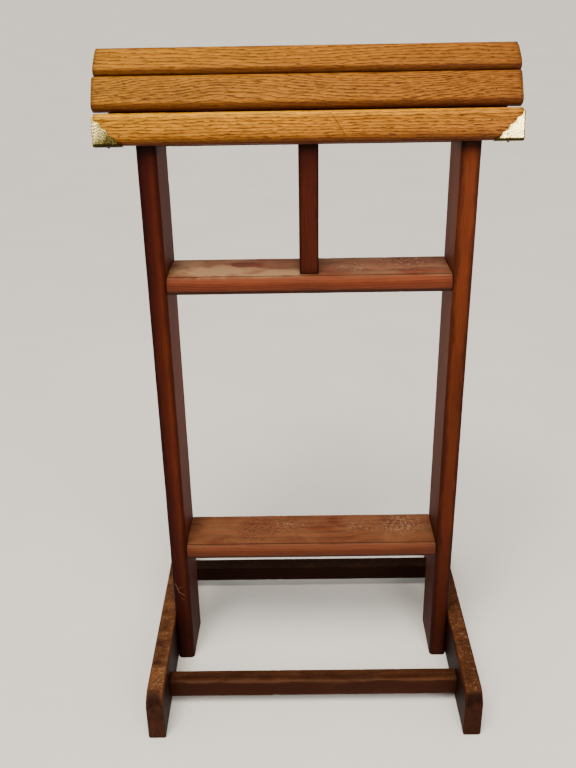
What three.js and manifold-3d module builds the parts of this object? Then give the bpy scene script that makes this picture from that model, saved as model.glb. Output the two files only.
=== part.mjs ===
// Slatted valet stand: two upright boards on runner feet, two shelves, a centre divider
// and a rounded top of six slats with brass corners. Millimetres, +Z up, front towards -Y.
// The origin is the middle of the footprint, on the floor.
import * as THREE from 'three';
import { mergeVertices } from 'three/addons/utils/BufferGeometryUtils.js';
import Module from 'manifold-3d';

// ---- driving dimensions ----
const FIT_GAP = 0.3; // air between pieces that touch
const BOARD_THICKNESS = 25.4;
const BOARD_WIDTH = 88.9;
const SHELF_EDGE_RADIUS = 9.5;
const BOARD_EDGE_RADIUS = 6;

const UPRIGHT_OUTER_X = 214.3;
const UPRIGHT_Y = -6; // the uprights stand a little forward of the feet's middle
const UPRIGHT_SQUARE_TOP = 829; // above this height the board narrows into the arch
const UPRIGHT_TOP = 880;

const UPPER_SHELF_TOP = 641.4;
const LOWER_SHELF_TOP = 215.4;
const DIVIDER_WIDTH = 68;
const CROSSPIECE_BOTTOM = 812;
const CROSSPIECE_THICKNESS = 19;

const RUNNER_LENGTH = 434;
const RUNNER_HEIGHT = 76;
const RUNNER_NOSE_RADIUS = 22;
const RUNNER_HEEL_RADIUS = 4;
const RUNNER_EDGE_RADIUS = 4;
const STRETCHER_Y = 139.75;
const STRETCHER_WIDTH = 25.4;
const STRETCHER_BOTTOM = 15;
const STRETCHER_TOP = 45;
const STRETCHER_EDGE_RADIUS = 4;
const STRETCHER_GROOVE = 2; // half-width and depth of the V groove along its top

const SLAT_LENGTH = 520.7;
const SLAT_THICKNESS = 19;
const SLAT_EDGE_RADIUS = 8;
const RIB_THICKNESS = 28.4;
const RIB_BOTTOM = 817;
const ARCH_CLEARANCE = 1; // between an upright's shaped top and the slats

// Each slat of the front half: its upper outer edge, its slope from level, its width.
const SLATS = [
  { name: 'top_slat', y: 0, z: 927.6, slope: 43.6, width: 39.6 },
  { name: 'middle_slat', y: -31, z: 897.6, slope: 56.5, width: 43.5 },
  { name: 'lower_slat', y: -59.4, z: 856.3, slope: 76.9, width: 39 },
];

const PLATE_THICKNESS = 0.9;
const PLATE_LEG = 33.5;
const PLATE_FLANGE_DEPTH = 17; // how far the end and bottom flanges reach back
const PIN_HEAD_RADIUS = 1.9;
const PIN_HEAD_HEIGHT = 1.1;
const PIN_SHANK_RADIUS = 0.8;
const PIN_LENGTH = 11;

const SCREW_HEAD_RADIUS = 4;
const SCREW_SHANK_RADIUS = 2;
const SCREW_COUNTERSINK = 2.4;
const SCREW_TIP_LENGTH = 5;
const SCREW_RIM = 0.4;
const SCREW_SLOT_WIDTH = 1;
const SCREW_SLOT_DEPTH = 0.9;
const ROUND_SIDES = 12;
const CORNER_STEPS = 4;

// ---- dimensions worked out from them ----
const UPRIGHT_INNER_X = UPRIGHT_OUTER_X - BOARD_THICKNESS;
const RUNNER_INNER_X = UPRIGHT_OUTER_X + FIT_GAP;
const RUNNER_OUTER_X = RUNNER_INNER_X + BOARD_THICKNESS;
const RIB_OUTER_X = RUNNER_INNER_X + RIB_THICKNESS;
const SHELF_LENGTH = 2 * (UPRIGHT_INNER_X - FIT_GAP);

const FINISH = {
  darkPine: { color: 0x4a1c14, roughness: 0.5, metalness: 0 },
  redPine: { color: 0x8a4526, roughness: 0.5, metalness: 0 },
  goldenOak: { color: 0xbf8440, roughness: 0.45, metalness: 0 },
  brass: { color: 0xb9a05a, roughness: 0.35, metalness: 1 },
  steel: { color: 0x8d8d8b, roughness: 0.4, metalness: 1 },
};

const wasm = await Module();
wasm.setup();

const stand = new THREE.Group();
const body = new THREE.Group();
body.position.y = UPRIGHT_Y;
stand.add(body);

/** Merges shared corners and drops the flat triangles that a lathe leaves on its axis. */
function weld(geometry) {
  const bare = geometry.clone();
  bare.deleteAttribute('normal');
  bare.deleteAttribute('uv');
  const merged = mergeVertices(bare, 1e-4);
  const index = merged.index.array;
  const kept = [];
  for (let i = 0; i < index.length; i += 3) {
    const [a, b, c] = index.slice(i, i + 3);
    if (a !== b && b !== c && c !== a) kept.push(a, b, c);
  }
  merged.setIndex(kept);
  return merged;
}

function toSolid(geometry) {
  const merged = weld(geometry);
  return new wasm.Manifold(new wasm.Mesh({
    numProp: 3,
    vertProperties: new Float32Array(merged.attributes.position.array),
    triVerts: new Uint32Array(merged.index.array),
  }));
}

function toGeometry(solid) {
  const mesh = solid.getMesh();
  const geometry = new THREE.BufferGeometry();
  geometry.setAttribute('position', new THREE.BufferAttribute(mesh.vertProperties, 3));
  geometry.setIndex(new THREE.BufferAttribute(mesh.triVerts, 1));
  return geometry;
}

function subtract(geometry, cutters) {
  return toGeometry(cutters.reduce((solid, cutter) => solid.subtract(toSolid(cutter)), toSolid(geometry)));
}

function intersect(first, second) {
  return toGeometry(toSolid(first).intersect(toSolid(second)));
}

/** Mirrors a shape left to right, turning each triangle over so that it still faces out. */
function mirrorX(geometry) {
  const index = geometry.index.array;
  for (let i = 0; i < index.length; i += 3) [index[i], index[i + 1]] = [index[i + 1], index[i]];
  return geometry.scale(-1, 1, 1);
}

function addPiece(parent, name, geometry, finish, position = [0, 0, 0], tilt = 0) {
  const mesh = new THREE.Mesh(weld(geometry), new THREE.MeshStandardMaterial(finish));
  mesh.name = name;
  mesh.position.set(...position);
  mesh.rotation.x = tilt;
  parent.add(mesh);
  return mesh;
}

/** A rectangle about the origin with round corners. */
function roundedRectangle(width, height, radius) {
  const shape = new THREE.Shape();
  const right = width / 2 - radius;
  const top = height / 2 - radius;
  shape.absarc(right, top, radius, 0, Math.PI / 2, false);
  shape.absarc(-right, top, radius, Math.PI / 2, Math.PI, false);
  shape.absarc(-right, -top, radius, Math.PI, 1.5 * Math.PI, false);
  shape.absarc(right, -top, radius, 1.5 * Math.PI, 2 * Math.PI, false);
  return shape;
}

/** Extrudes a (Y, Z) outline along X, centred on X = 0. */
function alongX(shape, length) {
  const geometry = new THREE.ExtrudeGeometry(shape, {
    depth: length, bevelEnabled: false, curveSegments: CORNER_STEPS,
  });
  geometry.translate(0, 0, -length / 2);
  const turn = new THREE.Matrix4().makeBasis(
    new THREE.Vector3(0, 1, 0), new THREE.Vector3(0, 0, 1), new THREE.Vector3(1, 0, 0));
  return geometry.applyMatrix4(turn);
}

/** Extrudes an (X, Y) outline upwards from Z = 0. */
function alongZ(shape, length) {
  return new THREE.ExtrudeGeometry(shape, {
    depth: length, bevelEnabled: false, curveSegments: CORNER_STEPS,
  });
}

function block(xRange, yRange, zRange) {
  const size = [xRange, yRange, zRange].map(([low, high]) => high - low);
  const centre = [xRange, yRange, zRange].map(([low, high]) => (high + low) / 2);
  return new THREE.BoxGeometry(...size).translate(...centre);
}

// ---- the arch under the slats ----

/** Height of one slat's inner face, offset inwards by depth, at a distance y from the ridge plane. */
function slatInnerLine(slat, depth) {
  const slope = THREE.MathUtils.degToRad(slat.slope);
  const direction = [-Math.cos(slope), -Math.sin(slope)];
  const point = [slat.y + depth * Math.sin(slope), slat.z - depth * Math.cos(slope)];
  return { point, direction };
}

function crossing(first, second) {
  const [ax, az] = first.direction;
  const [bx, bz] = second.direction;
  const dx = second.point[0] - first.point[0];
  const dz = second.point[1] - first.point[1];
  const along = (dx * bz - dz * bx) / (ax * bz - az * bx);
  return [first.point[0] + along * ax, first.point[1] + along * az];
}

/** The closed (Y, Z) outline that lies inside all the slats, from the bottom height up. */
function archOutline(depth, bottom) {
  const lines = SLATS.map((slat) => slatInnerLine(slat, depth));
  const ridge = { point: [0, 0], direction: [0, 1] };
  const floor = { point: [0, bottom], direction: [1, 0] };
  const half = [
    crossing(ridge, lines[0]), crossing(lines[0], lines[1]),
    crossing(lines[1], lines[2]), crossing(lines[2], floor),
  ];
  const mirrored = half.slice(1).reverse().map(([y, z]) => [-y, z]);
  const shape = new THREE.Shape([...half, ...mirrored].map(([y, z]) => new THREE.Vector2(y, z)));
  return shape;
}

// ---- wooden boards ----

function uprightGeometry() {
  const bar = alongZ(roundedRectangle(BOARD_THICKNESS, BOARD_WIDTH, BOARD_EDGE_RADIUS), UPRIGHT_TOP);
  const half = BOARD_WIDTH / 2;
  const arch = archOutline(SLAT_THICKNESS + ARCH_CLEARANCE, UPRIGHT_SQUARE_TOP);
  const column = block([-BOARD_THICKNESS, BOARD_THICKNESS], [-half - 1, half + 1], [-1, UPRIGHT_SQUARE_TOP]);
  const envelope = toSolid(alongX(arch, 2 * BOARD_THICKNESS)).add(toSolid(column));
  return toGeometry(toSolid(bar).intersect(envelope));
}

function shelfGeometry() {
  return alongX(roundedRectangle(BOARD_WIDTH, BOARD_THICKNESS, SHELF_EDGE_RADIUS), SHELF_LENGTH);
}

/** The runner's side outline: square heel, large round nose at the top of both ends. */
function runnerOutline() {
  const end = RUNNER_LENGTH / 2;
  const nose = RUNNER_NOSE_RADIUS;
  const heel = RUNNER_HEEL_RADIUS;
  const shape = new THREE.Shape();
  shape.absarc(end - nose, RUNNER_HEIGHT - nose, nose, 0, Math.PI / 2, false);
  shape.absarc(-end + nose, RUNNER_HEIGHT - nose, nose, Math.PI / 2, Math.PI, false);
  shape.absarc(-end + heel, heel, heel, Math.PI, 1.5 * Math.PI, false);
  shape.absarc(end - heel, heel, heel, 1.5 * Math.PI, 2 * Math.PI, false);
  return shape;
}

/** Rounds the runner's long edges by cutting its outline with a round-cornered cross-section. */
function runnerGeometry() {
  const section = roundedRectangle(BOARD_THICKNESS, RUNNER_HEIGHT, RUNNER_EDGE_RADIUS);
  const bar = alongZ(section, RUNNER_LENGTH).rotateX(Math.PI / 2);
  bar.translate(0, RUNNER_LENGTH / 2, RUNNER_HEIGHT / 2);
  return intersect(alongX(runnerOutline(), 2 * BOARD_THICKNESS), bar);
}

function stretcherGeometry() {
  const height = STRETCHER_TOP - STRETCHER_BOTTOM;
  const length = 2 * UPRIGHT_OUTER_X;
  const bar = alongX(roundedRectangle(STRETCHER_WIDTH, height, STRETCHER_EDGE_RADIUS), length);
  const top = height / 2;
  const groove = new THREE.Shape([
    new THREE.Vector2(0, top - STRETCHER_GROOVE),
    new THREE.Vector2(2 * STRETCHER_GROOVE, top + STRETCHER_GROOVE),
    new THREE.Vector2(-2 * STRETCHER_GROOVE, top + STRETCHER_GROOVE),
  ]);
  return subtract(bar, [alongX(groove, length + 2)]);
}

const MIRROR = [['left', -1], ['right', 1]];
const boards = {};

for (const [side, sign] of MIRROR) {
  const uprightX = sign * (UPRIGHT_INNER_X + BOARD_THICKNESS / 2);
  boards[`${side}_upright`] = addPiece(body, `${side}_upright`, uprightGeometry(),
    FINISH.darkPine, [uprightX, 0, 0]);
  const runnerX = sign * (RUNNER_INNER_X + BOARD_THICKNESS / 2);
  boards[`${side}_runner`] = addPiece(stand, `${side}_runner`, runnerGeometry(),
    FINISH.darkPine, [runnerX, 0, 0]);
  const rib = alongX(archOutline(SLAT_THICKNESS + FIT_GAP, RIB_BOTTOM), RIB_THICKNESS);
  boards[`${side}_end_rib`] = addPiece(body, `${side}_end_rib`, rib,
    FINISH.darkPine, [sign * (RUNNER_INNER_X + RIB_THICKNESS / 2), 0, 0]);
}

for (const [name, top] of [['upper_shelf', UPPER_SHELF_TOP], ['lower_shelf', LOWER_SHELF_TOP]]) {
  boards[name] = addPiece(body, name, shelfGeometry(), FINISH.redPine, [0, 0, top - BOARD_THICKNESS / 2]);
}

for (const [side, sign] of [['front', -1], ['rear', 1]]) {
  boards[`${side}_stretcher`] = addPiece(stand, `${side}_stretcher`, stretcherGeometry(),
    FINISH.darkPine, [0, sign * STRETCHER_Y, (STRETCHER_BOTTOM + STRETCHER_TOP) / 2]);
}

const dividerBottom = UPPER_SHELF_TOP + FIT_GAP;
boards.centre_divider = addPiece(body, 'centre_divider',
  alongZ(roundedRectangle(BOARD_THICKNESS, DIVIDER_WIDTH, BOARD_EDGE_RADIUS),
    CROSSPIECE_BOTTOM - FIT_GAP - dividerBottom),
  FINISH.redPine, [0, 0, dividerBottom]);

const crosspieceTop = CROSSPIECE_BOTTOM + CROSSPIECE_THICKNESS;
boards.top_crosspiece = addPiece(body, 'top_crosspiece',
  alongX(roundedRectangle(BOARD_WIDTH - 4, CROSSPIECE_THICKNESS, 2), SHELF_LENGTH),
  FINISH.redPine, [0, 0, (CROSSPIECE_BOTTOM + crosspieceTop) / 2]);

// ---- slats, brass corners and their pins ----

/** Half of the mitre at the ridge: everything behind the centre plane, in the slat's own frame. */
function ridgeCutter(centre, tilt) {
  const cutter = block([-SLAT_LENGTH, SLAT_LENGTH], [-FIT_GAP / 2, 60], [centre[2] - 60, centre[2] + 60]);
  cutter.translate(0, -centre[1], -centre[2]);
  return cutter.rotateX(-tilt);
}

/**
 * A thin corner of three faces on the lower slat's end: a triangle on the outer face,
 * one flange over the end grain and one under the bottom edge, bent round the slat.
 */
function cornerPlateGeometry(slat, sign) {
  const inner = FIT_GAP;
  const outer = inner + PLATE_THICKNESS;
  const end = SLAT_LENGTH / 2;
  const face = SLAT_THICKNESS / 2;
  const bottom = slat.width / 2;
  const shell = (extra, length) => alongX(
    roundedRectangle(SLAT_THICKNESS + 2 * extra, slat.width + 2 * extra, SLAT_EDGE_RADIUS + extra),
    length + 2 * extra);
  const region = block([end - PLATE_LEG, end + outer + 1],
    [-face - outer - 1, -face + PLATE_FLANGE_DEPTH], [-bottom - outer - 1, -bottom + PLATE_LEG]);
  const hypotenuse = new THREE.Shape([
    new THREE.Vector2(end - PLATE_LEG - 1, -bottom + inner + 1),
    new THREE.Vector2(end, -bottom + PLATE_LEG + 1),
    new THREE.Vector2(end - PLATE_LEG - 1, -bottom + PLATE_LEG + 1),
  ]);
  const faceCut = alongZ(hypotenuse, SLAT_THICKNESS).rotateX(Math.PI / 2);
  faceCut.translate(0, -face + SLAT_EDGE_RADIUS, 0);
  const plate = toSolid(shell(outer, SLAT_LENGTH)).subtract(toSolid(shell(inner, SLAT_LENGTH)))
    .intersect(toSolid(region)).subtract(toSolid(faceCut));
  return sign > 0 ? toGeometry(plate) : mirrorX(toGeometry(plate));
}

function lathe(points) {
  const profile = points.map(([radius, height]) => new THREE.Vector2(radius, height));
  return new THREE.LatheGeometry(profile, ROUND_SIDES).rotateX(Math.PI / 2);
}

/** A round-headed pin whose head rests on Z = 0 and whose shank points along +Z. */
function pinGeometry(clearance = 0) {
  const head = PIN_HEAD_RADIUS + clearance;
  const shank = PIN_SHANK_RADIUS + clearance;
  return lathe([
    [0, -PIN_HEAD_HEIGHT - clearance], [head * 0.7, -PIN_HEAD_HEIGHT * 0.7 - clearance], [head, 0],
    [shank, 0], [shank, PIN_LENGTH + clearance], [0, PIN_LENGTH + 1 + clearance],
  ]);
}

/** A slotted countersunk wood screw, or the bore that it sits in when clearance is given. */
function screwGeometry(length, clearance = 0) {
  const head = SCREW_HEAD_RADIUS + clearance;
  const shank = SCREW_SHANK_RADIUS + clearance;
  const mouth = clearance > 0 ? -2 : 0;
  const body = lathe([
    [0, mouth], [head, mouth], [head, SCREW_RIM], [shank, SCREW_COUNTERSINK + clearance],
    [shank, length - SCREW_TIP_LENGTH], [0, length + clearance],
  ]);
  if (clearance > 0) return body;
  const reach = SCREW_HEAD_RADIUS + 1;
  return subtract(body, [block([-reach, reach], [-SCREW_SLOT_WIDTH / 2, SCREW_SLOT_WIDTH / 2],
    [-1, SCREW_SLOT_DEPTH])]);
}

/** Places a fastener that points along direction, and bores its hole in each board it enters. */
function fasten(parent, name, geometry, bore, finish, position, direction, held) {
  const mesh = addPiece(parent, name, geometry, finish, position);
  mesh.quaternion.setFromUnitVectors(new THREE.Vector3(0, 0, 1), new THREE.Vector3(...direction));
  stand.updateMatrixWorld(true);
  for (const board of held) {
    const toBoard = board.matrixWorld.clone().invert().multiply(mesh.matrixWorld);
    board.geometry = weld(subtract(board.geometry, [bore.clone().applyMatrix4(toBoard)]));
  }
}

for (const [face, turn] of [['front', 0], ['rear', Math.PI]]) {
  const half = new THREE.Group();
  half.rotation.z = turn;
  body.add(half);
  for (const slat of SLATS) {
    const slope = THREE.MathUtils.degToRad(slat.slope);
    const tilt = slope - Math.PI / 2;
    const across = slat.width / 2;
    const inwards = SLAT_THICKNESS / 2;
    const centre = [0,
      slat.y - across * Math.cos(slope) + inwards * Math.sin(slope),
      slat.z - across * Math.sin(slope) - inwards * Math.cos(slope)];
    let geometry = alongX(roundedRectangle(SLAT_THICKNESS, slat.width, SLAT_EDGE_RADIUS), SLAT_LENGTH);
    if (slat.name === 'top_slat') geometry = subtract(geometry, [ridgeCutter(centre, tilt)]);
    boards[`${face}_${slat.name}`] = addPiece(half, `${face}_${slat.name}`, geometry,
      FINISH.goldenOak, centre, tilt);
  }
  const slat = SLATS[SLATS.length - 1];
  const board = boards[`${face}_${slat.name}`];
  for (const [side, sign] of MIRROR) {
    const localSign = turn ? -sign : sign;
    const plate = addPiece(board, `${face}_${side}_corner_plate`, cornerPlateGeometry(slat, localSign),
      FINISH.brass);
    const outer = FIT_GAP + PLATE_THICKNESS + FIT_GAP;
    const end = SLAT_LENGTH / 2;
    fasten(board, `${face}_${side}_end_pin`, pinGeometry(), pinGeometry(FIT_GAP), FINISH.brass,
      [localSign * (end + outer), 0, -slat.width / 2 + PLATE_LEG / 2], [-localSign, 0, 0], [plate, board]);
    fasten(board, `${face}_${side}_bottom_pin`, pinGeometry(), pinGeometry(FIT_GAP), FINISH.brass,
      [localSign * (end - PLATE_LEG / 2), 0, -slat.width / 2 - outer], [0, 0, 1], [plate, board]);
  }
}

// ---- screws ----
const DOUBLE_ROW = 22; // half the spacing of a pair of screws across a board
const SHELF_SCREW = 50;
const RUNNER_SCREW = 44;
const STRETCHER_SCREW = 60;
const RIB_SCREW = 46;
const CROSSPIECE_SCREW = 74;
const DIVIDER_SCREW = 52;
const DIVIDER_TOP_SCREW = 42;

function addScrew(name, length, position, direction, held) {
  const sunk = position.map((value, axis) => value + FIT_GAP * direction[axis]);
  fasten(stand, name, screwGeometry(length), screwGeometry(length, FIT_GAP), FINISH.steel,
    sunk, direction, held.map((board) => boards[board]));
}

for (const [side, sign] of MIRROR) {
  const upright = `${side}_upright`;
  const runner = `${side}_runner`;
  const rib = `${side}_end_rib`;
  const inwards = [-sign, 0, 0];
  for (const [row, offset] of [['front', -DOUBLE_ROW], ['rear', DOUBLE_ROW]]) {
    const y = UPRIGHT_Y + offset;
    for (const [shelf, top] of [['upper_shelf', UPPER_SHELF_TOP], ['lower_shelf', LOWER_SHELF_TOP]]) {
      addScrew(`${shelf}_${side}_${row}_screw`, SHELF_SCREW,
        [sign * UPRIGHT_OUTER_X, y, top - BOARD_THICKNESS / 2], inwards, [upright, shelf]);
    }
    addScrew(`${runner}_${row}_screw`, RUNNER_SCREW,
      [sign * RUNNER_OUTER_X, y, RUNNER_HEIGHT / 2 + offset / 2], inwards, [runner, upright]);
    addScrew(`${side}_crosspiece_${row}_screw`, CROSSPIECE_SCREW,
      [sign * RIB_OUTER_X, y, (CROSSPIECE_BOTTOM + crosspieceTop) / 2 + 4], inwards,
      [rib, upright, 'top_crosspiece']);
    addScrew(`${row}_stretcher_${side}_screw`, STRETCHER_SCREW,
      [sign * RUNNER_OUTER_X, Math.sign(offset) * STRETCHER_Y, (STRETCHER_BOTTOM + STRETCHER_TOP) / 2 - 3],
      inwards, [runner, `${row}_stretcher`]);
  }
  addScrew(`${side}_rib_screw`, RIB_SCREW, [sign * RIB_OUTER_X, UPRIGHT_Y, 862], inwards, [rib, upright]);
}
for (const [row, offset] of [['front', -DOUBLE_ROW + 4], ['rear', DOUBLE_ROW - 4]]) {
  addScrew(`divider_${row}_screw`, DIVIDER_SCREW,
    [0, UPRIGHT_Y + offset, UPPER_SHELF_TOP - BOARD_THICKNESS], [0, 0, 1], ['upper_shelf', 'centre_divider']);
}
addScrew('divider_top_screw', DIVIDER_TOP_SCREW, [0, UPRIGHT_Y, crosspieceTop], [0, 0, -1],
  ['top_crosspiece', 'centre_divider']);

export default stand;
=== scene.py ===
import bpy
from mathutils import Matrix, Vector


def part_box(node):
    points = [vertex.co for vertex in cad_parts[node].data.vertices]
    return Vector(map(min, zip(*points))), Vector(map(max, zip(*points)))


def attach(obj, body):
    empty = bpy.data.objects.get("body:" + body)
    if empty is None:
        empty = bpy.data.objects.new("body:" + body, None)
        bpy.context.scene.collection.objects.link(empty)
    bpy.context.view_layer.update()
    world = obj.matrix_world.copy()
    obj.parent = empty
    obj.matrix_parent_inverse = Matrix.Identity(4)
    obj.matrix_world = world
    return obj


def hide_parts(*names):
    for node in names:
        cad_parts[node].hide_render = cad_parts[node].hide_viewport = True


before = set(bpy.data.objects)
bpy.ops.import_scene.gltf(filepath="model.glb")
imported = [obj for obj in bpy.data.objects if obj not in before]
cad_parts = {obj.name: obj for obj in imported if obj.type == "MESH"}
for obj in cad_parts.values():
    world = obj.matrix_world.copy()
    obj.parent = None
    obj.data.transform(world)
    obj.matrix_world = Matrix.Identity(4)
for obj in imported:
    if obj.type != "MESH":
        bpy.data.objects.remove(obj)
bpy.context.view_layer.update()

"""A slatted valet stand: stained pine frame, golden oak slats, stamped brass corners.

Every wooden board is a section carried along its length as one numpy grid, then worn, dented
and finished with a procedural wood that follows its own grain. Lengths in the classes are
millimetres; meshes are metres, in the same frame as the engineering model.
"""

import logging
import math
from collections.abc import Callable
from dataclasses import dataclass, field, replace
from enum import Enum
from functools import partial

import bmesh
import bpy
import numpy as np
from mathutils import Matrix, Vector

LOG = logging.getLogger("valet_stand")
MM = 0.001

Item = bpy.types.Object
Tree = bpy.types.NodeTree
Socket = bpy.types.NodeSocket
Colour = tuple[float, float, float, float]
Point = tuple[float, float, float]
Adder = Callable[..., Socket]
Stops = tuple[tuple[float, float | str | tuple], ...]


# ---------------------------------------------------------------- small tools

def linear(code: str) -> Colour:
    """Turn an sRGB colour, six hex digits of red, green and blue, into linear light."""
    parts = [int(code[i:i + 2], 16) / 255 for i in (0, 2, 4)]
    red, green, blue = [p / 12.92 if p <= 0.04045 else ((p + 0.055) / 1.055) ** 2.4 for p in parts]
    return red, green, blue, 1.0


def box_mm(node: str) -> tuple[np.ndarray, np.ndarray]:
    """Lowest and highest corner of a CAD node, in millimetres."""
    low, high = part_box(node)
    return np.array(low[:]) / MM, np.array(high[:]) / MM


def ripple(points: np.ndarray, wavelength: float, seed: int, waves: int = 7) -> np.ndarray:
    """Smooth noise: a sum of sine waves that run in random directions, scaled to a size near 1.

    Args:
        points: Positions, one row each, in millimetres.
        wavelength: Typical distance between crests, in millimetres.
        seed: Start of the random draw.
        waves: How many waves are summed.

    Returns:
        One value per point, mostly between -1 and 1.
    """
    draw = np.random.default_rng(seed)
    directions = draw.normal(size=(waves, 3))
    directions /= np.linalg.norm(directions, axis=1)[:, None]
    lengths = wavelength * draw.uniform(0.6, 1.7, waves)
    phases = draw.uniform(0, 2 * math.pi, waves)
    turns = points @ directions.T * (2 * math.pi / lengths) + phases
    return np.sin(turns).sum(axis=1) / math.sqrt(waves)


def grid_faces(rows: int, columns: int, closed: bool) -> np.ndarray:
    """Quads between neighbouring rows of a grid whose columns may close into a ring."""
    row = np.arange(rows - 1)[:, None] * columns
    column = np.arange(columns if closed else columns - 1)[None, :]
    following = (column + 1) % columns
    return np.stack([row + column, row + following, row + columns + following, row + columns + column],
                    axis=-1).reshape(-1, 4)


def make_mesh(name: str, points: np.ndarray, faces: np.ndarray, marks: dict[str, np.ndarray],
              crease_deg: float = 38.0, closed: bool = True) -> Item:
    """Put arrays into a mesh object, weld it, point its faces outwards and smooth it.

    Args:
        name: Name of the object.
        points: Positions in millimetres, one row each.
        faces: Corner numbers, four to a row.
        marks: Values per point, each stored as a float attribute.
        crease_deg: Edges sharper than this stay sharp.
        closed: Whether the surface closes on itself, so that its faces can be turned outwards.

    Returns:
        The new object, at the origin.
    """
    mesh = bpy.data.meshes.new(name)
    mesh.from_pydata((points * MM).tolist(), [], faces.tolist())
    for mark, values in marks.items():
        attribute = mesh.attributes.new(mark, "FLOAT", "POINT")
        attribute.data.foreach_set("value", np.ascontiguousarray(values, dtype=np.float32))
    work = bmesh.new()
    work.from_mesh(mesh)
    bmesh.ops.remove_doubles(work, verts=work.verts, dist=2e-6)
    bmesh.ops.dissolve_degenerate(work, edges=work.edges, dist=1e-7)
    if closed:
        bmesh.ops.recalc_face_normals(work, faces=work.faces)
    work.to_mesh(mesh)
    work.free()
    mesh.polygons.foreach_set("use_smooth", np.ones(len(mesh.polygons), dtype=bool))
    mesh.set_sharp_from_angle(angle=math.radians(crease_deg))
    item = bpy.data.objects.new(name, mesh)
    bpy.context.scene.collection.objects.link(item)
    return item


# What several kinds of node share: type, main output and the inputs that values fill.
MATH = ("ShaderNodeMath", "Value", (0, 1, 2))
VECTOR = ("ShaderNodeVectorMath", "Vector", (0, 1, 2))
MEASURE = ("ShaderNodeVectorMath", "Value", (0, 1))
MIXER = ("ShaderNodeMix", 2, (0, 6, 7))


class Node(Enum):
    """A kind of shader node: its type, main output, the inputs that values fill in order, settings."""

    ADD = (*MATH, {"operation": "ADD"})
    SUBTRACT = (*MATH, {"operation": "SUBTRACT"})
    MULTIPLY = (*MATH, {"operation": "MULTIPLY"})
    MULTIPLY_ADD = (*MATH, {"operation": "MULTIPLY_ADD"})
    DIVIDE = (*MATH, {"operation": "DIVIDE"})
    MAXIMUM = (*MATH, {"operation": "MAXIMUM"})
    MINIMUM = (*MATH, {"operation": "MINIMUM"})
    FRACTION = (*MATH, {"operation": "FRACT"})
    VECTOR_SUBTRACT = (*VECTOR, {"operation": "SUBTRACT"})
    VECTOR_MULTIPLY = (*VECTOR, {"operation": "MULTIPLY"})
    VECTOR_MULTIPLY_ADD = (*VECTOR, {"operation": "MULTIPLY_ADD"})
    VECTOR_SCALE = ("ShaderNodeVectorMath", "Vector", (0, "Scale"), {"operation": "SCALE"})
    LENGTH = (*MEASURE, {"operation": "LENGTH"})
    DISTANCE = (*MEASURE, {"operation": "DISTANCE"})
    DOT = (*MEASURE, {"operation": "DOT_PRODUCT"})
    MIX = (*MIXER, {"data_type": "RGBA", "blend_type": "MIX"})
    TINT = (*MIXER, {"data_type": "RGBA", "blend_type": "MULTIPLY"})
    RAMP = ("ShaderNodeValToRGB", "Color", ("Fac",), {})
    NOISE = ("ShaderNodeTexNoise", "Fac", ("Vector", "Scale", "Detail", "Roughness", "Distortion"), {})
    SPLIT = ("ShaderNodeSeparateXYZ", "Z", ("Vector",), {})
    MAPPING = ("ShaderNodeMapping", "Vector", ("Vector", "Location", "Rotation"), {})
    PLACE = ("ShaderNodeTexCoord", "Object", (), {})
    MARK = ("ShaderNodeAttribute", "Fac", (), {})
    NORMAL = ("ShaderNodeNewGeometry", "Normal", (), {})
    BUMP = ("ShaderNodeBump", "Normal", ("Strength", "Distance", "Height"), {})
    SURFACE = ("ShaderNodeBsdfPrincipled", "BSDF", ("Base Color", "Roughness"), {})
    OUTPUT = ("ShaderNodeOutputMaterial", None, ("Surface",), {})


def as_colour(value: float | str | tuple[float, float, float]) -> Colour:
    """Linear colour of a grey level, of an sRGB hex code, or of linear red, green and blue."""
    if isinstance(value, str):
        return linear(value)
    return (*value, 1.0) if isinstance(value, tuple) else (value, value, value, 1.0)


def add_node(tree: Tree, kind: Node, *values, named: dict | None = None, stops: Stops = (),
             out: str | None = None, **settings) -> Socket | None:
    """Add a shader node, set its properties and fill or link its inputs.

    Args:
        tree: Node tree that gets the node.
        kind: Which kind of node.
        *values: A number, vector, hex colour or socket for each of the kind's inputs, in order.
        named: The same for further inputs, by name.
        stops: A ramp's positions and colours, in rising order.
        out: Output to return instead of the kind's main one.
        **settings: Further properties of the node.

    Returns:
        The chosen output, or None where the kind has none.
    """
    type_name, main_output, slots, fixed = kind.value
    node = tree.nodes.new(type_name)
    for key, value in {**fixed, **settings}.items():
        setattr(node, key, value)
    for key, value in [*zip(slots, values), *(named or {}).items()]:
        if isinstance(value, Socket):
            tree.links.new(value, node.inputs[key])
        else:
            node.inputs[key].default_value = linear(value) if isinstance(value, str) else value
    elements = node.color_ramp.elements if stops else []
    while len(elements) < len(stops):
        elements.new(0.5)
    for element, (position, colour) in zip(elements, stops):
        element.position, element.color = position, as_colour(colour)
    return None if main_output is None else node.outputs[out or main_output]


@dataclass(frozen=True)
class Pattern:
    """A noise: cycles per metre along and across the grain, octaves, their weight, distortion."""

    stretch: Point
    detail: float
    roughness: float
    distortion: float = 0.0

    def on(self, add: Adder, vector: Socket, out: str = "Fac") -> Socket:
        """Lay the pattern over the positions that a socket gives."""
        scaled = add(Node.VECTOR_MULTIPLY, vector, self.stretch)
        return add(Node.NOISE, scaled, 1.0, self.detail, self.roughness, self.distortion, out=out)


def new_material(name: str) -> tuple[bpy.types.Material, Adder]:
    """An empty node material, and add_node for its tree."""
    material = bpy.data.materials.new(name)
    material.use_nodes = True
    material.node_tree.nodes.clear()
    return material, partial(add_node, material.node_tree)


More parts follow.
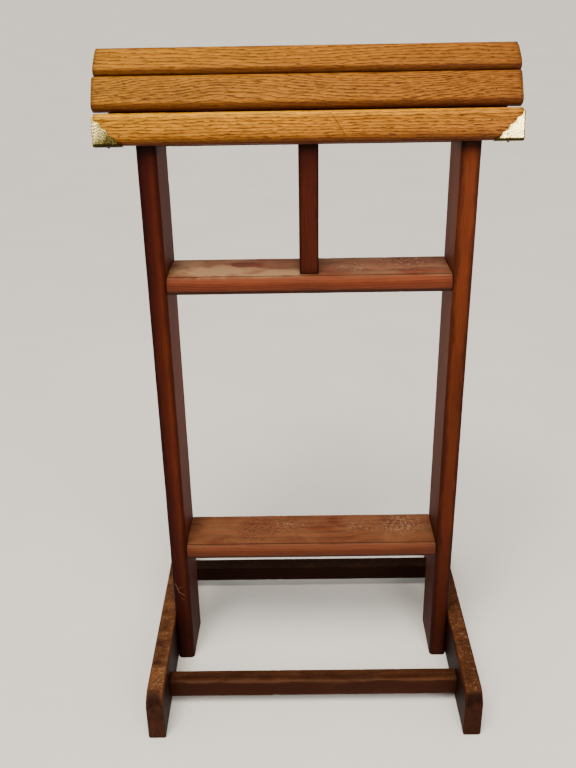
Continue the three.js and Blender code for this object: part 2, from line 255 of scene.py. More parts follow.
def finish_material(item: Item, material: bpy.types.Material, colour: Socket, rough: Socket | float,
                    relief: tuple[float, float, Socket] | None = None, **named: float) -> None:
    """Close a material with its relief, surface and output, and give it to an item.

    Args:
        item: What gets the material.
        material: The material, with its patterns made.
        colour: Its base colour.
        rough: Its roughness.
        relief: Strength, depth in metres and height pattern of the bumps, or None for no bumps.
        **named: Further inputs of the surface, an underscore standing for each space.
    """
    add = partial(add_node, material.node_tree)
    inputs: dict[str, Socket | float] = {key.replace("_", " "): value for key, value in named.items()}
    if relief is not None:
        inputs["Normal"] = add(Node.BUMP, *relief)
    add(Node.OUTPUT, add(Node.SURFACE, colour, rough, named=inputs))
    item.data.materials.append(material)


# ---------------------------------------------------------------- finishes

FIBRES = Pattern((30, 720, 720), 3, 0.62)
BLOTCHES = Pattern((5, 17, 17), 3, 0.55)
PORE_DASHES = Pattern((92, 1300, 1300), 1.0, 0.5, 0.25)
PITH_SWAY = Pattern((4.6, 14, 14), 2.5, 0.45)
RUBBED = Pattern((22, 90, 90), 4, 0.6)
GRIME = Pattern((60, 60, 60), 3, 0.6)
DUST_CLOUDS = Pattern((16, 30, 30), 4, 0.6, 0.5)
FLECKS = Pattern((300, 400, 400), 2.5, 0.6, 1.2)
TARNISH = Pattern((260, 260, 260), 4, 0.65)
BRASS_GRAIN = Pattern((1400, 1400, 1400), 2, 0.5)
BRASS_SPECKS = Pattern((620, 620, 620), 2, 0.6)
RUST = Pattern((700, 700, 700), 4, 0.65)
FLOOR_MOTTLE = Pattern((3, 3, 3), 4, 0.5)

# Ramps that turn a pattern or a direction into a mask: position, then how strong the mask is.
FACES_UP: Stops = ((0.72, 0.0), (0.97, 1.0))
FACES_FRONT: Stops = ((0.5, 0.0), (0.7, 1.0))
PORE_CROWDING: Stops = ((0.0, 0.9), (0.22, 0.25), (0.72, 0.1), (1.0, 1.0))
WORN_EDGE: Stops = ((0.66, 0.0), (0.95, 1.0))
CLOUDED: Stops = ((0.35, 0.1), (0.72, 1.0))
SPECKLED_CLOUD: Stops = ((0.4, 0.2), (0.6, 1.0))
FLECK_LIGHT: Stops = ((0.55, 0.0), (0.66, 0.5))
FLECK_SHADOW: Stops = ((0.36, 0.85), (0.46, 0.0))
FLECK_PIT: Stops = ((0.43, 0.9), (0.49, 0.0))
TARNISHED: Stops = ((0.42, 0.0), (0.85, 1.0))
SPECKED: Stops = ((0.66, 0.0), (0.76, 0.85))
RUSTED: Stops = ((0.35, 0.0), (0.75, 1.0))

# How far the pith line may stray from its place, as a factor, and the shift along it, in metres.
PITH_STRAY = (0.8, 1.25)
GRAIN_SHIFT = (2.0, 9.0)
# What each pattern adds to the roughness, and to the height of the relief.
FIBRE_ROUGH, WEAR_ROUGH, DUST_ROUGH = 0.16, 0.15, 0.3
FIBRE_HEIGHT, RING_HEIGHT, PORE_HEIGHT = 0.5, 0.35, -0.8
# How much crowding lifts the pores' noise, and how soft their edges are.
PORE_LIFT, PORE_SOFTNESS = 0.24, 0.07
# How far noise pushes a patch's edge in and out, as a share of its size.
BLOT_PUSH = 1.8

GRIME_COLOUR = "1a0c07"
CREASE_DIRT_AND_SHADE = "1f0d07"
PIT_COLOUR = "3a170c"
RAW_FLECK_COLOUR = "c2a585"


class Grain(Enum):
    """Which way a board's fibres run: the turn that brings them onto X, and the board's axes.

    The axes are those of its length, width and thickness.
    """

    ALONG_X = ((0.0, 0.0, 0.0), (0, 1, 2))
    ALONG_Y = ((0.0, 0.0, -math.pi / 2), (1, 2, 0))
    ALONG_Z = ((0.0, math.pi / 2, 0.0), (2, 1, 0))


class Mark(Enum):
    """What a worn patch on a shelf shows."""

    PALE = 0
    SPECKLED = 1
    DARK = 2
    PITTED = 3


@dataclass(frozen=True)
class Patch:
    """A worn patch: an ellipse on the board, in millimetres, with a ragged edge."""

    x: float
    y: float
    half_x: float
    half_y: float
    mark: Mark
    strength: float = 1.0


@dataclass(frozen=True)
class Drift:
    """A slow change of tone: colours to multiply by, evenly spaced along an axis, in metres."""

    axis: str
    start: float
    stop: float
    tones: tuple[tuple[float, float, float], ...]


@dataclass(frozen=True)
class Scratch:
    """A straight scratch or crack on a front face, from one X and Z to another, in millimetres."""

    start: tuple[float, float]
    end: tuple[float, float]
    colour: str
    width_mm: float = 0.7
    strength: float = 0.8


@dataclass(frozen=True)
class Wood:
    """A sawn and varnished wood: rings round a pith line, fibres, pores, stain, wear and dust, with
    painted shade where it looks down; the dust also paints light on the tops.

    The rings are cylinders round a pith line beside the board, so that a flat-sawn face shows
    long arches and its end shows arcs, as a real board does.
    """

    title: str
    pale: str
    middle: str
    dark: str
    pore: str
    worn: str
    dust: str = "b79a7c"
    # Colour of the painted shade on faces that look down; the dark flecks use it too.
    under: str = "2a120a"
    ring_mm: float = 3.2
    ring_contrast: float = 1.0
    pore_amount: float = 0.0
    pore_level: float = 0.6
    fibre_amount: float = 0.25
    blotch_amount: float = 0.25
    wear_amount: float = 0.5
    wear_reach: float = 0.42
    grime_amount: float = 0.6
    underside_shade_amount: float = 0.5
    dust_amount: float = 0.0
    speckle_amount: float = 0.0
    patches: tuple[Patch, ...] = ()
    drifts: tuple[Drift, ...] = ()
    scratches: tuple[Scratch, ...] = ()
    edge_shade: float = 0.0
    roughness: float = 0.5
    specular: float = 0.22
    relief_mm: float = 0.35
    pith_mm: tuple[float, float] = (55.0, 70.0)
    sway: float = 0.016

    def dress(self, item: Item, grain: Grain, seed: int) -> None:
        """Build this wood for one board and give it to the board.

        Args:
            item: The board.
            grain: Which way its fibres run.
            seed: Shifts the pattern, so that no two boards match.
        """
        material, add = new_material(f"{self.title} {item.name}")
        draw = np.random.default_rng(seed)
        place = add(Node.PLACE)
        pith = [float(side * MM * draw.uniform(*PITH_STRAY)) for side in self.pith_mm]
        turn, _ = grain.value
        shift = float(draw.uniform(*GRAIN_SHIFT))
        spot = add(Node.MAPPING, place, (shift, *pith), turn)

        ring = self._ring(add, spot)
        fibre, blotch = FIBRES.on(add, spot), BLOTCHES.on(add, spot)
        colour = add(Node.RAMP, ring, stops=(
            (0.0, self.pale), (0.6, self.middle), (0.92, self.dark), (0.99, self.pale)))
        colour = add(Node.MIX, 1 - self.ring_contrast, colour, self.middle)
        for noise, amount in ((fibre, self.fibre_amount), (blotch, self.blotch_amount)):
            tone = add(Node.RAMP, noise, stops=((0.28, 1 - amount), (0.72, 1 + amount * 0.5)))
            colour = add(Node.TINT, 1.0, colour, tone)
        pores = self._pores(add, spot, ring)
        if self.pore_amount > 0:
            colour = add(Node.MIX, pores, colour, self.pore)

        colour, wear = self._wear(add, spot, colour)
        for drift in self.drifts:
            colour = self._drift(add, place, colour, drift)
        colour = self._grime_and_underside_shade(add, spot, colour)
        for scratch in self.scratches:
            colour = self._scratch(add, place, colour, scratch)
        colour, dust = self._dust_and_top_light(add, place, colour)
        # Crease lines are darkened: dirt in the small groove, and painted shade that the groove is too
        # small to cast.
        crease = add(Node.MARK, attribute_name="crease")
        line = add(Node.MULTIPLY, crease, add(Node.MULTIPLY_ADD, blotch, 0.7, 0.6))
        colour = add(Node.MIX, line, colour, CREASE_DIRT_AND_SHADE)

        rough: Socket | float = self.roughness - FIBRE_ROUGH / 2
        for pattern, amount in ((fibre, FIBRE_ROUGH), (wear, WEAR_ROUGH), (dust, DUST_ROUGH)):
            rough = add(Node.MULTIPLY_ADD, pattern, amount, rough)
        height = add(Node.MULTIPLY, ring, RING_HEIGHT)
        for pattern, amount in ((fibre, FIBRE_HEIGHT), (pores, PORE_HEIGHT)):
            height = add(Node.MULTIPLY_ADD, pattern, amount, height)
        finish_material(item, material, colour, rough, (0.8, self.relief_mm * MM, height),
                        IOR=1.5, Specular_IOR_Level=self.specular)

    def _ring(self, add: Adder, spot: Socket) -> Socket:
        """Growth rings: the distance from a swaying pith line in ring widths, keeping the fraction."""
        sway = PITH_SWAY.on(add, spot, out="Color")
        warped = add(Node.VECTOR_MULTIPLY_ADD, sway, (0.0, self.sway, self.sway), spot)
        across = add(Node.VECTOR_MULTIPLY, warped, (0.0, 1.0, 1.0))
        radius = add(Node.LENGTH, across)
        return add(Node.FRACTION, add(Node.DIVIDE, radius, self.ring_mm * MM))

    def _pores(self, add: Adder, spot: Socket, ring: Socket) -> Socket:
        """Open pores: thin dashes along the grain, crowded at the start of each ring.

        Real pores are 0.3 mm wide; they are drawn about 1 mm wide so that they show.
        """
        crowd = add(Node.RAMP, ring, stops=PORE_CROWDING)
        dash = add(Node.MULTIPLY_ADD, crowd, PORE_LIFT, PORE_DASHES.on(add, spot))
        cut = add(Node.RAMP, dash, stops=(
            (self.pore_level, 0.0), (self.pore_level + PORE_SOFTNESS, 1.0)))
        return add(Node.MULTIPLY, cut, self.pore_amount)

    def _wear(self, add: Adder, spot: Socket, colour: Socket) -> tuple[Socket, Socket]:
        """Rub the stain off the rounded edges in patches."""
        edge = add(Node.MARK, attribute_name="edge")
        both = add(Node.MULTIPLY_ADD, edge, self.wear_reach, RUBBED.on(add, spot))
        mask = add(Node.RAMP, both, stops=WORN_EDGE)
        mask = add(Node.MULTIPLY, mask, self.wear_amount)
        return add(Node.MIX, mask, colour, self.worn), mask

    def _drift(self, add: Adder, place: Socket, colour: Socket, drift: Drift) -> Socket:
        """Multiply the colour by a drift's tones, from its start to its stop."""
        along = add(Node.SPLIT, place, out=drift.axis)
        share = add(Node.SUBTRACT, along, drift.start)
        share = add(Node.DIVIDE, share, drift.stop - drift.start)
        spots = np.linspace(0, 1, len(drift.tones)).tolist()
        tone = add(Node.RAMP, share, stops=tuple(zip(spots, drift.tones)))
        return add(Node.TINT, 1.0, colour, tone)

    def _grime_and_underside_shade(self, add: Adder, spot: Socket, colour: Socket) -> Socket:
        """Darken the board with grime at its joints, and with painted shade where it looks down."""
        joint = add(Node.MARK, attribute_name="joint")
        ragged = add(Node.MULTIPLY_ADD, GRIME.on(add, spot), 0.8, 0.3)
        mask = add(Node.MULTIPLY, joint, ragged)
        mask = add(Node.MULTIPLY, mask, self.grime_amount)
        colour = add(Node.MIX, mask, colour, GRIME_COLOUR)
        # Painted shade: faces that look down take the under colour, and with edge_shade so do rounded
        # edges that turn downwards.
        height = add(Node.SPLIT, add(Node.NORMAL))
        down = add(Node.MULTIPLY_ADD, height, -0.5, 0.5)
        low = add(Node.RAMP, down, stops=(
            (0.44, 0.0), (0.56, self.underside_shade_amount * 0.45), (0.8, self.underside_shade_amount)))
        if self.edge_shade > 0:
            edge = add(Node.MARK, attribute_name="edge")
            downturned_edge_shade = add(Node.RAMP, down, stops=((0.24, 0.0), (0.44, self.edge_shade)))
            low = add(Node.MAXIMUM, low, add(Node.MULTIPLY, downturned_edge_shade, edge))
        return add(Node.MIX, low, colour, self.under)

    def _scratch(self, add: Adder, place: Socket, colour: Socket, scratch: Scratch) -> Socket:
        """Blend in one scratch, by distance from its line on faces that look to the front.

        The nearest point of the line is found by clamping the projection onto it to the line's ends.
        """
        first = Vector((scratch.start[0], 0.0, scratch.start[1])) * MM
        run = Vector((scratch.end[0], 0.0, scratch.end[1])) * MM - first
        flat = add(Node.VECTOR_MULTIPLY, place, (1.0, 0.0, 1.0))
        away = add(Node.VECTOR_SUBTRACT, flat, tuple(first))
        share = add(Node.DOT, away, tuple(run / run.length_squared))
        share = add(Node.MAXIMUM, add(Node.MINIMUM, share, 1.0), 0.0)
        gap = add(Node.DISTANCE, away, add(Node.VECTOR_SCALE, tuple(run), share))
        near = add(Node.DIVIDE, gap, scratch.width_mm * MM)
        line = add(Node.RAMP, near, stops=((0.35, scratch.strength), (1.0, 0.0)))
        behind = add(Node.SPLIT, add(Node.NORMAL), out="Y")
        front = add(Node.RAMP, add(Node.MULTIPLY, behind, -1.0), stops=FACES_FRONT)
        line = add(Node.MULTIPLY, line, front)
        return add(Node.MIX, line, colour, scratch.colour)

    def _dust_and_top_light(self, add: Adder, place: Socket, colour: Socket) -> tuple[Socket, Socket]:
        """Dust and rubbed varnish on faces that look up: clouds, worn patches and fine flecks. The dust is
        partly painted light, lightening the tops as light from above would.
        """
        upwards = add(Node.SPLIT, add(Node.NORMAL))
        facing = add(Node.RAMP, upwards, stops=FACES_UP)
        cloud = DUST_CLOUDS.on(add, place)
        mask = add(Node.RAMP, cloud, stops=CLOUDED)
        mask = add(Node.MULTIPLY, mask, self.dust_amount)
        flecked = add(Node.RAMP, cloud, stops=SPECKLED_CLOUD)
        flecked = add(Node.MULTIPLY, flecked, self.speckle_amount)
        pitted: Socket | float = 0.0
        for number, patch in enumerate(self.patches):
            blot = self._blot(add, place, patch, number)
            if patch.mark is Mark.PALE:
                mask = add(Node.MAXIMUM, mask, blot)
            elif patch.mark is Mark.SPECKLED:
                flecked = add(Node.MAXIMUM, flecked, blot)
            elif patch.mark is Mark.PITTED:
                pitted = add(Node.MAXIMUM, pitted, blot)
            else:
                mask = add(Node.MULTIPLY, mask, add(Node.SUBTRACT, 1.0, blot))
        mask = add(Node.MULTIPLY, mask, facing)
        colour = add(Node.MIX, mask, colour, self.dust)
        grit = FLECKS.on(add, place)
        flecked = add(Node.MULTIPLY, flecked, facing)
        pitted = add(Node.MULTIPLY, pitted, facing)
        for where, stops, tone in ((flecked, FLECK_SHADOW, self.under), (pitted, FLECK_PIT, PIT_COLOUR),
                                   (flecked, FLECK_LIGHT, RAW_FLECK_COLOUR)):
            shape = add(Node.RAMP, grit, stops=stops)
            colour = add(Node.MIX, add(Node.MULTIPLY, where, shape), colour, tone)
        return colour, mask

    def _blot(self, add: Adder, place: Socket, patch: Patch, number: int) -> Socket:
        """One patch: 1 inside its ellipse, 0 outside, its edge pushed about by noise."""
        ragged = Pattern((38 + 3 * number, 70, 70), 4, 0.62, 0.6).on(add, place)
        offset = add(Node.VECTOR_SUBTRACT, place, (patch.x * MM, patch.y * MM, 0.0))
        scaled = add(Node.VECTOR_MULTIPLY, offset, (1 / (patch.half_x * MM), 1 / (patch.half_y * MM), 0.0))
        pushed = add(Node.MULTIPLY_ADD, ragged, -BLOT_PUSH, add(Node.LENGTH, scaled))
        pushed = add(Node.ADD, pushed, BLOT_PUSH / 2)
        inner = 0.72 if patch.mark is Mark.DARK else 0.4
        return add(Node.RAMP, pushed, stops=((inner, patch.strength), (1.0, 0.0)))


@dataclass(frozen=True)
class StampedBrass:
    """Thin brass pressed in a die: bright on the raised lines, brown-green where it has tarnished, dark
    along its folds as painted shade.
    """

    bright: str = "e3cd86"
    tarnish: str = "5a5228"
    speck: str = "17130a"
    roughness: float = 0.2

    def dress(self, item: Item) -> None:
        """Build the brass for one piece and give it to the piece."""
        material, add = new_material(f"stamped brass {item.name}")
        place = add(Node.PLACE)
        relief = add(Node.MARK, attribute_name="relief")
        age = add(Node.MARK, attribute_name="tarnish")
        low = add(Node.MULTIPLY_ADD, age, 0.62, TARNISH.on(add, place))
        low = add(Node.MULTIPLY_ADD, relief, -0.25, low)
        mask = add(Node.RAMP, low, stops=TARNISHED)
        colour = add(Node.MIX, mask, self.bright, self.tarnish)
        speck = add(Node.MULTIPLY_ADD, age, 0.2, BRASS_SPECKS.on(add, place))
        speck = add(Node.RAMP, speck, stops=SPECKED)
        colour = add(Node.MIX, speck, colour, self.speck)
        rough = add(Node.MULTIPLY_ADD, mask, 0.28, self.roughness)
        fine = BRASS_GRAIN.on(add, place)
        finish_material(item, material, colour, rough, (0.25, 0.1 * MM, fine), Metallic=1.0)


@dataclass(frozen=True)
class Ironwork:
    """Turned steel that has dulled: grey with brown specks, darkest in its recess."""

    title: str = "dulled steel"
    base: str = "8b8782"
    rust: str = "3d2a1e"
    roughness: float = 0.42

    def dress(self, item: Item) -> None:
        """Build the steel for one piece and give it to the piece."""
        material, add = new_material(f"{self.title} {item.name}")
        relief = add(Node.MARK, attribute_name="relief")
        speck = RUST.on(add, add(Node.PLACE))
        mask = add(Node.RAMP, add(Node.SUBTRACT, speck, relief), stops=RUSTED)
        colour = add(Node.MIX, mask, self.base, self.rust)
        rough = add(Node.MULTIPLY_ADD, mask, 0.35, self.roughness)
        finish_material(item, material, colour, rough, (0.5, 0.15 * MM, speck), Metallic=1.0)


# Oak with a clear golden varnish: the eye sees long dark pores on honey-coloured wood.
GOLDEN_OAK = Wood("golden oak", pale="b87a1e", middle="9c6016", dark="6b3706", pore="2e1204",
                  worn="a5682a", under="3a1306", ring_mm=4.6, ring_contrast=0.6, pore_amount=0.8,
                  pore_level=0.64, fibre_amount=0.42, blotch_amount=0.24, wear_amount=0.2,
                  grime_amount=1.0, underside_shade_amount=0.85, roughness=0.5, specular=0.08, edge_shade=0.75,
                  drifts=(Drift("X", -0.27, 0.27, (
                      (1.1, 1.2, 0.78), (0.97, 0.97, 0.9), (0.8, 0.74, 1.2))),))
# Painted light on the lowest slats: darker at their bottom edge, rising to a painted highlight along their
# upper edge.
LOWER_SLAT_PAINTED_HIGHLIGHT = Drift("Z", 0.818, 0.856, (
    (0.75, 0.75, 1.0), (1.15, 1.15, 1.5), (1.4, 1.45, 1.7), (1.55, 1.65, 1.4), (2.1, 2.5, 0.8)))
# Pine under a red-brown stain: the late wood takes the stain darker, and rubbed edges turn orange.
RED_PINE = Wood("red stained pine", pale="7d3a1c", middle="6c2e15", dark="4c1c0b", pore="1d0905",
                worn="783c1b", dust="a88562", ring_mm=3.4, ring_contrast=0.8, underside_shade_amount=0.9,
                specular=0.14, roughness=0.55)
# The same pine with more stain, as on the uprights and the feet.
DARK_PINE = replace(RED_PINE, title="dark stained pine", pale="4d1c0e", middle="3f150a", dark="280b05",
                    worn="763a1a", dust="7a5233", specular=0.05, roughness=0.6)
# Darker again and rubbed by shoes: the feet's tops are flecked with raw wood and dust, and the dust also
# paints the light that falls on the tops.
FOOT_PINE = replace(DARK_PINE, title="scuffed dark pine", pale="31140a", middle="26100a", dark="180704",
                    worn="5e3620", wear_reach=0.38, dust="7a4c2a", dust_amount=0.75, speckle_amount=0.45)
BRASS = StampedBrass()
PIN_BRASS = replace(BRASS, bright="2a2110", tarnish="17130a", roughness=0.6)
SCREW_STEEL = Ironwork()
NAIL_IRON = Ironwork("dark iron", base="3a2f28", rust="1d130d", roughness=0.6)

# Pale scratches low on the left upright, and a fine crack across the front lower slat.
LEFT_SCRATCHES = (
    Scratch((-210, 147), (-205, 131), "8a6a58", 0.5, 0.6),
    Scratch((-205, 131), (-197, 125), "8a6a58", 0.5, 0.6),
    Scratch((-208, 137), (-199, 141), "7a5a48", 0.4, 0.5),
    Scratch((-203, 120), (-198, 116), "7a5a48", 0.4, 0.5))
SLAT_CRACK = (Scratch((29, 850), (45, 826), "3a1c08", 0.6, 0.75),)

# Where the shelves' tops are rubbed, dusty or flecked: x and y of the middle, half-sizes, in mm.
UPPER_PATCHES = (
    Patch(-118, -22, 92, 34, Mark.PALE, 0.78), Patch(-40, -30, 60, 20, Mark.PALE, 0.75),
    Patch(-165, 14, 34, 30, Mark.PALE, 0.5), Patch(-84, 4, 26, 13, Mark.DARK, 0.9),
    Patch(60, -8, 34, 24, Mark.SPECKLED, 0.9), Patch(136, 8, 48, 34, Mark.SPECKLED, 1.0),
    Patch(98, -34, 40, 12, Mark.PALE, 0.3))
LOWER_PATCHES = (
    Patch(-150, 6, 42, 34, Mark.PALE, 0.45), Patch(-86, -4, 36, 42, Mark.PITTED, 1.0),
    Patch(-30, 4, 40, 20, Mark.SPECKLED, 0.6), Patch(72, 2, 32, 22, Mark.SPECKLED, 0.6),
    Patch(140, 4, 50, 38, Mark.SPECKLED, 1.0), Patch(-100, -34, 60, 10, Mark.PALE, 0.4))


# ---------------------------------------------------------------- boards

# How far each ring on the end grain has closed to the section's middle line, from the middle out.
END_CLOSING = (1.0, 0.82, 0.62, 0.42, 0.24, 0.1)
# The wear that all boards share, in millimetres; the nicks' level and limit cut their noise.
SECTION_STEP = 4.0
CREASE_DEPTH, CREASE_HALF_WIDTH = 0.45, 1.05
EDGE_FADE, END_FADE = 3.0, 2.5
NICK_WAVELENGTH, NICK_LEVEL, NICK_LIMIT = 11.0, 0.7, 1.2
WAVE_WAVELENGTH, WAVE_DEPTH = 70.0, 0.09


@dataclass
class Board:
    """A planed board with rounded long edges, made as its section carried along its length.

    The section is a rounded rectangle. It shrinks round a small radius at each end and then
    closes over the end grain in rings that draw in to the section's middle line.
    """

    name: str
    node: str
    finish: Wood
    grain: Grain
    slot: str
    length: float
    width: float
    thickness: float
    radius: float
    origin: Point
    along: Point
    across: Point
    through: Point
    seed: int = 0
    station_mm: float = 5.0
    end_radius: float = 1.1
    dent_mm: float = 0.5
    joint_mm: float = 9.0
    corner_steps: int = 9
    creases_deg: tuple[float, ...] = ()

    def outline(self) -> tuple[np.ndarray, np.ndarray, np.ndarray, np.ndarray]:
        """The section: four quarter circles joined by straight runs, counter-clockwise.

        Returns:
            Points, outward normals, how near each point is to a rounded edge, from 0 to 1, and
            how much it lies in a cutter's crease: a narrow bell round each crease's angle.
        """
        half = np.array([self.width / 2 - self.radius, self.thickness / 2 - self.radius])
        signs = np.array([(1, 1), (-1, 1), (-1, -1), (1, -1)])
        points, normals, edge, crease = [], [], [], []
        for number, sign in enumerate(signs):
            angle = np.linspace(number * math.pi / 2, (number + 1) * math.pi / 2, self.corner_steps)
            ray = np.stack([np.cos(angle), np.sin(angle)], axis=1)
            points.append(half * sign + self.radius * ray)
            normals.append(ray)
            edge.append(0.5 + 0.5 * np.sin(2 * (angle - angle[0])))
            bells = [np.exp(-((angle - math.radians(at)) * self.radius / CREASE_HALF_WIDTH) ** 2)
                     for at in self.creases_deg]
            crease.append(np.max(bells, axis=0) if bells else np.zeros(len(angle)))
            run = 2 * (half[0] if number % 2 == 0 else half[1])
            steps = max(1, round(run / SECTION_STEP))
            share = np.arange(1, steps) / steps
            start = points[-1][-1]
            finish = half * signs[(number + 1) % 4] + self.radius * ray[-1]
            points.append(start + share[:, None] * (finish - start))
            normals.append(np.repeat(ray[-1:], len(share), axis=0))
            edge.append(0.5 * np.exp(-np.minimum(share, 1 - share) * run / EDGE_FADE))
            crease.append(np.zeros(len(share)))
        return tuple(np.concatenate(rows) for rows in (points, normals, edge, crease))

    def rings(self) -> tuple[np.ndarray, np.ndarray, np.ndarray]:
        """Where each ring of the grid sits.

        Returns:
            Station along the board, inset of the section, and how far it has closed to the middle line.
        """
        closing = np.array(END_CLOSING)
        turn = np.linspace(0, math.pi / 2, 5)
        stations = self.end_radius * (1 - np.cos(turn))
        insets = self.end_radius * (1 - np.sin(turn))
        body = np.linspace(self.end_radius, self.length - self.end_radius,
                           max(4, round(self.length / self.station_mm)))[1:-1]
        start = np.stack([np.r_[np.zeros(len(closing)), stations],
                          np.r_[np.full(len(closing), self.end_radius), insets],
                          np.r_[closing, np.zeros(len(turn))]])
        finish = start[:, ::-1].copy()
        finish[0] = self.length - finish[0]
        middle = np.stack([body, np.zeros(len(body)), np.zeros(len(body))])
        return tuple(np.concatenate([start, middle, finish], axis=1))

    def bend(self, local: np.ndarray) -> np.ndarray:
        """Shape the board further, in its own along, across, through millimetres."""
        return local

    def build(self) -> Item:
        """Make the mesh: section points times rings, worn and placed, as whole arrays.

        Returns:
            The finished board.
        """
        points, normals, edge, crease = self.outline()
        points = points - normals * CREASE_DEPTH * crease[:, None]
        station, inset, closing = self.rings()
        reach = max(self.width - self.thickness, 0) / 2
        spine = np.stack([np.clip(points[:, 0], -reach, reach), np.zeros(len(points))], axis=1)
        ring = points[None] - normals[None] * inset[:, None, None]
        ring = ring + (spine[None] - ring) * closing[:, None, None]
        local = np.concatenate([np.broadcast_to(station[:, None, None], ring.shape[:2] + (1,)), ring],
                               axis=2).reshape(-1, 3)
        end_distance = np.minimum(station, self.length - station)
        near_end = np.repeat(np.exp(-end_distance / END_FADE), len(points))
        edge_all = np.maximum(np.tile(edge, len(station)), near_end)
        joint = np.repeat(np.exp(-end_distance / self.joint_mm), len(points))
        push = np.zeros((len(station), len(points), 3))
        push[:, :, 1:] = normals[None] * (closing[:, None, None] < 0.05)
        local = self.bend(local)
        world = self.place(local)
        nick = np.clip(ripple(world, NICK_WAVELENGTH, self.seed + 1) - NICK_LEVEL, 0, NICK_LIMIT)
        wave = WAVE_DEPTH * np.clip(1 + ripple(world, WAVE_WAVELENGTH, self.seed + 2), 0, None)
        depth = nick * edge_all ** 2 * self.dent_mm + wave
        world = world - self.place(push.reshape(-1, 3), True) * depth[:, None]
        marks = {"edge": edge_all, "joint": joint, "crease": np.tile(crease, len(station))}
        item = make_mesh(self.name, world, grid_faces(len(station), len(points), True), marks)
        self.finish.dress(item, self.grain, self.seed)
        return item

    def place(self, local: np.ndarray, direction_only: bool = False) -> np.ndarray:
        """Turn the board's own millimetres into the stand's."""
        axes = np.array([self.along, self.across, self.through], dtype=float)
        moved = local @ axes
        return moved if direction_only else moved + np.array(self.origin, dtype=float)

    @classmethod
    def from_box(cls, node: str, finish: Wood, grain: Grain, slot: str, radius: float, seed: int,
                 **more) -> "Board":
        """A board sized and placed from its CAD box.

        Args:
            node: CAD node that the board stands for; its name follows from it.
            finish: Its wood.
            grain: Which way it runs.
            slot: Material slot of the record.
            radius: Of its long edges.
            seed: Start of its random draws.
            **more: Further fields of the board.
        """
        low, high = box_mm(node)
        _, order = grain.value
        origin = (low + high) / 2
        origin[order[0]] = low[order[0]]
        return cls(node.replace("_", "-"), node, finish, grain, slot, *(high - low)[list(order)], radius,
                   tuple(origin), *np.eye(3)[list(order)], seed=seed, **more)


@dataclass
class Arch:
    """The arched top's shape: where each slat of one half lies, in a plane across the stand."""

    thickness: float = 19.0
    edge_radius: float = 8.0
    upper_edges: tuple = ((0.0, 927.5), (-31.0, 897.6), (-59.4, 856.3))
    slopes_deg: tuple = (43.6, 56.5, 76.9)
    widths: tuple = (39.6, 43.5, 38.3)
    shifts: tuple = (-1.3, -2.1, -1.0)
    shortenings: tuple = (0.0, 0.0, 2.0)
    tapers: tuple = (2.4, 0.4, 0.2)

    def half_width(self, height: np.ndarray, depth: float) -> np.ndarray:
        """How far from the centre plane the space under the slats reaches, at each height.

        For each slat the inner face is a straight line; the nearest line at a height bounds it.
        """
        reach = np.full_like(height, np.inf)
        for (y, z), slope in zip(self.upper_edges, self.slopes_deg):
            tilt = math.radians(slope)
            line_y = -y - depth * math.sin(tilt)
            line_z = z - depth * math.cos(tilt)
            reach = np.minimum(reach, line_y + (line_z - height) / math.tan(tilt))
        return np.maximum(reach, 0.0)


@dataclass
class ArchedBoard(Board):
    """A board that stands upright and narrows into the arch near its top."""

    arch: Arch = field(default_factory=Arch)
    arch_depth: float = 20.0
    swell_mm: float = 0.0

    def bend(self, local: np.ndarray) -> np.ndarray:
        """Draw each height in to the width of the arch there: across = across * arch / half board.

        The through face also swells towards the back, in step with the distance from the front.
        """
        half = self.width / 2
        room = self.arch.half_width(local[:, 0] + self.origin[2], self.arch_depth)
        local = local.copy()
        back = local[:, 1] / self.width + 0.5
        local[:, 1] *= np.minimum(room / half, 1.0)
        local[:, 2] += self.swell_mm * back * (local[:, 2] / self.thickness + 0.5)
        return local


@dataclass
class Runner(Board):
    """A foot: its top drops round a quarter circle to a lower nose at both ends."""

    nose_radius: float = 22.0

    def bend(self, local: np.ndarray) -> np.ndarray:
        """Squeeze the height near the ends: the top follows a quarter circle of the nose radius."""
        into = np.clip(self.nose_radius - np.minimum(local[:, 0], self.length - local[:, 0]), 0, None)
        drop = self.nose_radius - np.sqrt(np.clip(self.nose_radius ** 2 - into ** 2, 0, None))
        local = local.copy()
        bottom = -self.width / 2
        local[:, 1] = bottom + (local[:, 1] - bottom) * (1 - drop / self.width)
        return local

    def rings(self) -> tuple[np.ndarray, np.ndarray, np.ndarray]:
        """As on any board, with extra rings round the nose."""
        station, inset, closing = super().rings()
        extra = self.nose_radius * (1 - np.cos(np.linspace(0.25, math.pi / 2, 9)))
        extra = np.r_[extra, self.length - extra]
        order = np.argsort(np.r_[station, extra], kind="stable")
        grow = np.zeros(len(extra))
        return (np.r_[station, extra][order], np.r_[inset, grow][order], np.r_[closing, grow][order])


@dataclass
class Stretcher(Board):
    """A foot rail with a shallow V groove along the middle of its top."""

    groove_mm: float = 1.8
    groove_half_mm: float = 3.4

    def bend(self, local: np.ndarray) -> np.ndarray:
        """Lower the top face near its middle line: depth falls off linearly from the line."""
        local = local.copy()
        top = local[:, 2] > self.thickness * 0.3
        fall = self.groove_mm * np.clip(1 - np.abs(local[:, 1]) / self.groove_half_mm, 0, 1)
        local[:, 2] -= np.where(top, fall, 0.0)
        return local


